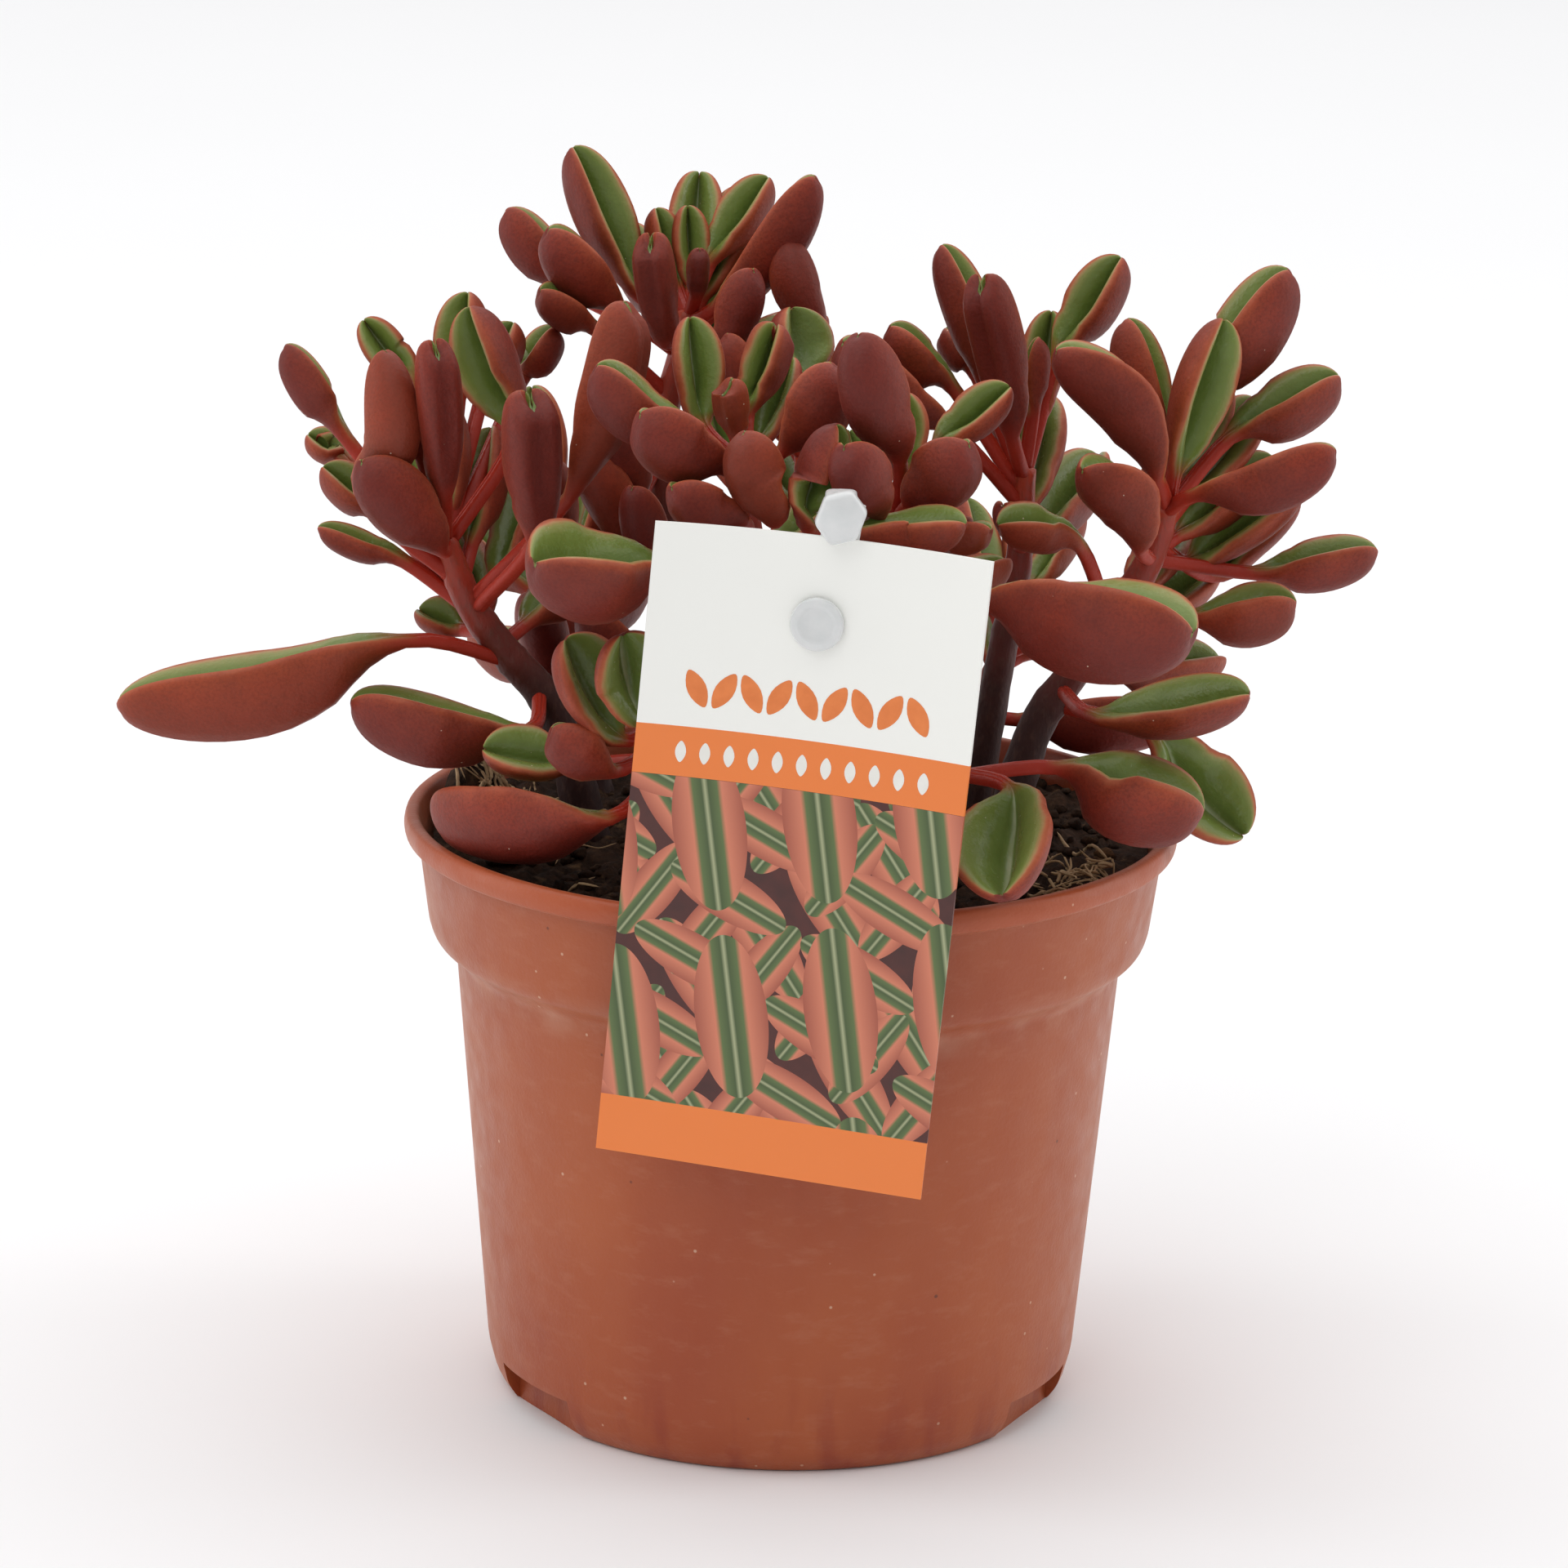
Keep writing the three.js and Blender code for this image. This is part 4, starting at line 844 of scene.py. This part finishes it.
def cut_away(name, shape, cutter):
    """The shape less the cutter, as a new bmesh."""
    pair = []
    for part, body in ((name, shape), (name + "_cutter", cutter)):
        mesh = bpy.data.meshes.new(part)
        body.to_mesh(mesh)
        body.free()
        pair.append(bpy.data.objects.new(part, mesh))
        bpy.context.scene.collection.objects.link(pair[-1])
    kept, tool = pair
    cut = kept.modifiers.new("cut", "BOOLEAN")
    cut.operation, cut.object, cut.solver = "DIFFERENCE", tool, "EXACT"
    result = bmesh.new()
    result.from_object(kept, bpy.context.evaluated_depsgraph_get())
    for part in pair:
        mesh = part.data
        bpy.data.objects.remove(part)
        bpy.data.meshes.remove(mesh)
    return result


def nursery_pot():
    pot = bmesh.new()
    turned(pot, pot_profile(), 144)
    cutter = bmesh.new()
    past = 2  # the cutters reach past the foot and the floor
    for i in range(NOTCH_COUNT):
        box = bmesh.ops.create_cube(cutter, size=1)["verts"]
        size = (NOTCH_WIDTH, NOTCH_DEPTH, NOTCH_HEIGHT + 2 * past)
        bmesh.ops.scale(cutter, vec=size, verts=box)
        bmesh.ops.translate(cutter, vec=(0, -NOTCH_AWAY, NOTCH_HEIGHT / 2 - past), verts=box)
        turn = Matrix.Rotation(math.radians(NOTCH_TURN + i * 360 / NOTCH_COUNT), 3, "Z")
        bmesh.ops.rotate(cutter, verts=box, cent=(0, 0, 0), matrix=turn)
    for i in range(DRAIN_COUNT):
        hole = bmesh.ops.create_cone(cutter, cap_ends=True, segments=24, radius1=DRAIN_RADIUS,
                                     radius2=DRAIN_RADIUS, depth=4 * past)["verts"]
        bmesh.ops.translate(cutter, vec=(DRAIN_CIRCLE, 0, FLOOR_TOP), verts=hole)
        turn = Matrix.Rotation(2 * math.pi * i / DRAIN_COUNT, 3, "Z")
        bmesh.ops.rotate(cutter, verts=hole, cent=(0, 0, 0), matrix=turn)
    pot = cut_away("pot_wall", pot, cutter)
    finish_piece("nursery_pot_moulded", pot, [moulded_polypropylene()],
                 ["nursery_pot"], crease=38)


# Soil

SOIL_LUMPS = [  # x, y, height, radius
    (-51, 13, 7, 6), (44, -14, 1.5, 7), (-46, -24, -3, 12), (40, -30, -1, 10), (-8, 42, 2, 9),
    (20, 46, 2.4, 6),
]
CRUMBS, ROOT_HAIRS, SOIL_SEED = 520, 110, 2027
ROOT_TUFTS = [(42, -24), (-46, 12)]


def soil_height(x, y):
    height = (SOIL_LEVEL + 0.7 * math.sin(0.31 * x + 1.3) * math.cos(0.27 * y)
              + 0.5 * math.sin(0.83 * x - 0.61 * y))
    for lump_x, lump_y, lift, radius in SOIL_LUMPS:
        height += lift * math.exp(-((x - lump_x) ** 2 + (y - lump_y) ** 2) / radius ** 2)
    return height


def peat_soil(peat, root):
    shape = bmesh.new()
    edge = 57 - SOIL_INSET
    wall = [(0, FLOOR_TOP + GAP), (43, FLOOR_TOP + GAP), (46.6 - SOIL_INSET, 10),
            (51.7 - SOIL_INSET, STEP_HEIGHT + 1.5), (55.6 - SOIL_INSET, 77)]
    rings = 64
    turned(shape, wall + [(edge * i / rings, SOIL_LEVEL) for i in range(rings, -1, -1)], 200)
    for vert in shape.verts:
        if vert.co.z > SOIL_LEVEL - 0.01:
            x, y = vert.co.x, vert.co.y
            inside = eased(edge - math.hypot(x, y), 0, 3)
            rough = noise.fractal(Vector((x, y, 0)) * 0.34, 0.9, 2.1, 5)
            vert.co.z = soil_height(x, y) + inside * 1.1 * rough
    parts = [shape]
    draw = drawer(SOIL_SEED)
    for _ in range(CRUMBS):
        away, turn, size = (edge - 3) * math.sqrt(draw(0, 1)), draw(0, 2 * math.pi), draw(0.5, 1.7)
        x, y = away * math.cos(turn), away * math.sin(turn)
        spot = Vector((x, y, soil_height(x, y) + size * 0.35))
        crumb = bmesh.new()
        bmesh.ops.create_uvsphere(crumb, u_segments=7, v_segments=5, radius=size)
        flat = Vector((draw(0.7, 1.3), draw(0.7, 1.3), draw(0.5, 0.9)))
        for vert in crumb.verts:
            bulge = 1 + 0.45 * noise.noise(vert.co * 1.1 + spot)
            vert.co = Vector(a * b for a, b in zip(vert.co, flat)) * bulge + spot
        parts.append(crumb)
    for i in range(ROOT_HAIRS):
        away, turn, long = (edge - 9) * math.sqrt(draw(0, 1)), draw(0, 2 * math.pi), draw(6, 17)
        x, y, heading = away * math.cos(turn), away * math.sin(turn), draw(0, 2 * math.pi)
        if i % 2:
            # every second hair lies in one of the two tufts at the rim
            middle_x, middle_y = ROOT_TUFTS[i // 2 % 2]
            x, y, long = middle_x + draw(-8, 8), middle_y + draw(-6, 6), long * 0.7
        points = []
        for _ in range(5):
            points.append((x, y, soil_height(x, y) + draw(0.3, 2.6)))
            heading += draw(-0.9, 0.9)
            x, y = x + long / 4 * math.cos(heading), y + long / 4 * math.sin(heading)
            if math.hypot(x, y) > edge - 2:
                x, y = x * 0.9, y * 0.9
        parts.append(thread(Route(points), draw(0.14, 0.32)))
    finish_piece("peat_soil_loose", join_parts(parts), [peat, root], ["peat_soil"])


def thread(path, radius):
    """A root hair: a thin tapered thread along its path."""
    shape = bmesh.new()

    def place(vert, share, turn):
        heading = path.heading(share)
        side = heading.orthogonal().normalized()
        front = heading.cross(side)
        if not turn:
            return path.point(share)
        thin = radius * (0.35 + 0.65 * math.sin(math.pi * share) ** 0.5)
        return path.point(share) + side * turn[0] * thin + front * turn[1] * thin

    shaped_ball(shape, 6, 16, place, finish=1)
    return shape


# Card and stake

TOP_LEFT, TOP_RIGHT = seen(-21.7, 137.7, -61.2), seen(30.2, 132.4, -69.2)
BOTTOM_LEFT, BOTTOM_RIGHT = seen(-29.6, 36.6, -57), seen(21.8, 29.1, -65)
BUTTON_U, BUTTON_V = 0.51, 0.868
KNOB_U, KNOB_V = 0.55, 1.035

# Rows of printed leaves: how many, the first one's place across, the step, the place up, length and
# width in mm, the two turns that take turns, and the ink
ORNAMENT_ROWS = [
    (9, 0.17, 0.083, 0.748, 6.4, 3.0, (118, 62), 0),
    (11, 0.14, 0.073, 0.648, 3.4, 1.7, (90, 90), 1),
]


def on_card(u, v):
    """A spot on the card's middle layer: u from left to right, v from bottom to top."""
    spot = BOTTOM_LEFT.lerp(BOTTOM_RIGHT, u).lerp(TOP_LEFT.lerp(TOP_RIGHT, u), v)
    spot.y += CARD_BOW * 4 * u * (1 - u) * v
    return spot


def card_facing(u, v):
    step = 0.01
    across = on_card(u + step, v) - on_card(u - step, v)
    upward = on_card(u, v + step) - on_card(u, v - step)
    return across.cross(upward).normalized()


def plant_card():
    shape = bmesh.new()
    bmesh.ops.create_grid(shape, x_segments=24, y_segments=40, size=0.5)
    uv = shape.loops.layers.uv.new("card_print")
    for face in shape.faces:
        for loop in face.loops:
            loop[uv].uv = (loop.vert.co.x + 0.5, loop.vert.co.y + 0.5)
    bmesh.ops.solidify(shape, geom=shape.faces[:], thickness=CARD_THICKNESS)
    middle = sum(vert.co.z for vert in shape.verts) / len(shape.verts)
    for vert in shape.verts:
        u, v, layer = vert.co.x + 0.5, vert.co.y + 0.5, vert.co.z - middle
        vert.co = on_card(u, v) + card_facing(u, v) * layer
    bmesh.ops.recalc_face_normals(shape, faces=shape.faces)
    finish_piece("plant_card_sheet", shape, [printed_card()], ["plant_card"], crease=40)


def small_leaf(u, v, long, wide, turn, ink):
    """A small flat leaf of ink on the card: its middle, size in mm and turn in degrees."""
    shape = bmesh.new()
    bmesh.ops.create_circle(shape, cap_ends=True, segments=20, radius=1)
    cos, sin = math.cos(math.radians(turn)), math.sin(math.radians(turn))
    for vert in shape.verts:
        x, y = vert.co.x * long / 2, vert.co.y * wide / 2 * (1 - 0.35 * vert.co.x ** 2)
        at_u, at_v = u + (x * cos - y * sin) / CARD_WIDE, v + (x * sin + y * cos) / CARD_HIGH
        vert.co = on_card(at_u, at_v) + card_facing(at_u, at_v) * (CARD_THICKNESS / 2 + 0.03)
    for face in shape.faces:
        face.material_index = ink
        face.normal_update()
        if face.normal.dot(card_facing(u, v)) < 0:
            face.normal_flip()
    return shape


def card_ornament():
    """Two rows of small plain leaves, one on the white and one on the band."""
    parts = []
    for count, first, step, v, long, wide, turns, ink in ORNAMENT_ROWS:
        for i in range(count):
            parts.append(small_leaf(first + step * i, v, long, wide, turns[i % 2], ink))
    inks = [print_ink("orange_ink", "#EE8540", "#E47A36"),
            print_ink("white_ink", "#F4F2EC", "#EFEDE6")]
    finish_piece("plant_card_ornament", join_parts(parts), inks)


def placed(shape, turn, spot):
    bmesh.ops.rotate(shape, verts=shape.verts, cent=(0, 0, 0), matrix=turn)
    bmesh.ops.translate(shape, vec=spot, verts=shape.verts)
    bmesh.ops.recalc_face_normals(shape, faces=shape.faces)
    return shape


def rod(points, wide, thick):
    """A flat bar with rounded edges along its points."""
    path = Route(points)
    squareness = 0.45

    def place(vert, share, turn):
        t = held((share - 0.03) / 0.94)
        heading = path.heading(t)
        side = TO_VIEWER.cross(heading).normalized()
        front = heading.cross(side)
        if not turn:
            return path.point(t)
        x, y = (math.copysign(abs(part) ** squareness, part) for part in turn)
        return path.point(t) + side * x * wide / 2 + front * y * thick / 2

    shape = bmesh.new()
    shaped_ball(shape, 24, 34, place)
    return shape


def card_button():
    """A round head in front of the card and a seat behind it, on one stub through the card."""
    skin = CARD_THICKNESS / 2 + GAP
    top, back = skin + BUTTON_THICKNESS, skin + STAKE_THICKNESS + SEAT_GAP
    seat = STAKE_WIDTH / 2 + 0.6
    shape = bmesh.new()
    turned(shape, rounded([
        (0, top - 0.25), (BUTTON_RADIUS * 0.6, top - 0.25), (BUTTON_RADIUS * 0.72, top),
        (BUTTON_RADIUS, top - 0.1), (BUTTON_RADIUS, skin), (STUB_RADIUS, skin),
        (STUB_RADIUS, -skin), (seat, -skin), (seat, -back), (0, -back)],
        {2: 0.3, 3: 0.4, 4: 0.2, 7: 0.2, 8: 0.3}), 48)
    turn = card_facing(BUTTON_U, BUTTON_V).to_track_quat("Z", "Y").to_matrix()
    return placed(shape, turn, on_card(BUTTON_U, BUTTON_V))


def card_knob(middle):
    """The six-sided knob that stands in front of the card's top edge."""
    shape = bmesh.new()
    bmesh.ops.create_cone(shape, cap_ends=True, segments=6, radius1=KNOB_FRONT, radius2=KNOB_BACK,
                          depth=KNOB_THICKNESS)
    bmesh.ops.scale(shape, vec=(0.9, 1.02, 1), verts=shape.verts)
    bmesh.ops.bevel(shape, geom=shape.edges[:], offset=0.7, offset_type="OFFSET", segments=4,
                    profile=0.5, affect="EDGES", clamp_overlap=True, material=-1)
    turn = Matrix.Rotation(KNOB_TURN, 3, "Y") @ Matrix.Rotation(math.pi / 2, 3, "X")
    return placed(shape, turn, middle)


def card_stake():
    skin = CARD_THICKNESS / 2 + GAP
    depth = skin + SEAT_GAP + STAKE_THICKNESS / 2
    knob_middle = on_card(KNOB_U, KNOB_V) + card_facing(0.5, 1) * (skin + KNOB_THICKNESS / 2)

    def behind(u, v, gap):
        return on_card(u, v) - card_facing(u, v) * gap

    parts = [
        card_button(),
        card_knob(knob_middle),
        rod([knob_middle + Vector((0, 0, 1.8)), knob_middle + Vector((0, 2.6, 1.9)),
             knob_middle + Vector((0, 5.1, 1.8))], BRIDGE_WIDTH, BRIDGE_THICKNESS),
        rod([behind(0.55, 1.05, depth), behind(0.535, 0.96, depth), behind(0.51, 0.84, depth)],
            STAKE_WIDTH, STAKE_THICKNESS),
    ]
    for side in (-1, 1):
        parts.append(rod([behind(0.51, 0.87, depth), behind(0.51 + side * 0.06, 0.74, depth + 1),
                          (side * 5.5 + 1, -53.2, 95), (side * 6 + 1, -51, 76)],
                         LEG_WIDTH, STAKE_THICKNESS))
    finish_piece("card_stake_moulded", join_parts(parts), [frosted_polypropylene()],
                 ["card_stake"], crease=35)


# Studio


def soft_light(name, spot, aim, width, height, power):
    light = bpy.data.lights.new(name, "AREA")
    light.shape, light.size, light.size_y = "RECTANGLE", width, height
    light.energy = power
    lamp = bpy.data.objects.new(name, light)
    lamp.location = spot
    lamp.rotation_euler = (Vector(aim) - Vector(spot)).to_track_quat("-Z", "Y").to_euler()
    bpy.context.scene.collection.objects.link(lamp)


def studio():
    floor = bmesh.new()
    bmesh.ops.create_grid(floor, x_segments=1, y_segments=1, size=9)
    mesh = bpy.data.meshes.new("studio_floor")
    floor.to_mesh(mesh)
    floor.free()
    mesh.materials.append(seamless_paper())
    ground = bpy.data.objects.new("studio_floor", mesh)
    bpy.context.scene.collection.objects.link(ground)
    aim = (0, 0, 0.1)
    soft_light("overhead_softbox", (0, 0.7, 2.4), aim, 4.5, 4.5, 64)
    soft_light("key_softbox", (-0.8, -1.3, 1.7), aim, 1.2, 1.2, 7)
    soft_light("left_strip", (-1.2, 0.1, 0.35), aim, 0.4, 1.2, 3)
    soft_light("right_strip", (1.2, 0.2, 0.35), aim, 0.4, 1.2, 3.5)
    world = bpy.data.worlds.new("studio_world")
    world.use_nodes = True
    sky = world.node_tree.nodes["Background"].inputs
    sky["Color"].default_value, sky["Strength"].default_value = linear("#FFFFFF"), 0.5
    bpy.context.scene.world = world
    bpy.context.scene.view_settings.view_transform = "Standard"


def photo_camera():
    """The eye of the photograph: perspective, looking down 15 degrees, tilted a little."""
    level = Vector((1, 0, 0))
    upright = Vector((0, math.sin(LOOK_DOWN), math.cos(LOOK_DOWN)))
    right = level * math.cos(TILT) + upright * math.sin(TILT)
    up = upright * math.cos(TILT) - level * math.sin(TILT)
    lens = bpy.data.cameras.new("photo_camera")
    lens.lens, lens.sensor_width, lens.clip_start, lens.clip_end = LENS, SENSOR, 0.05, 60
    camera = bpy.data.objects.new("photo_camera", lens)
    turn = Matrix((right, up, right.cross(up))).transposed()
    camera.matrix_world = Matrix.Translation(EYE * MM) @ turn.to_4x4()
    bpy.context.scene.collection.objects.link(camera)
    bpy.context.scene.camera = camera


photo_camera()
studio()
nursery_pot()
peat_soil(damp_peat(), dry_root())
grown = [leaf_skin(), stem_skin()]
for plan in LEAFY_STEMS:
    leafy_stem(plan, grown)
plant_card()
card_ornament()
card_stake()
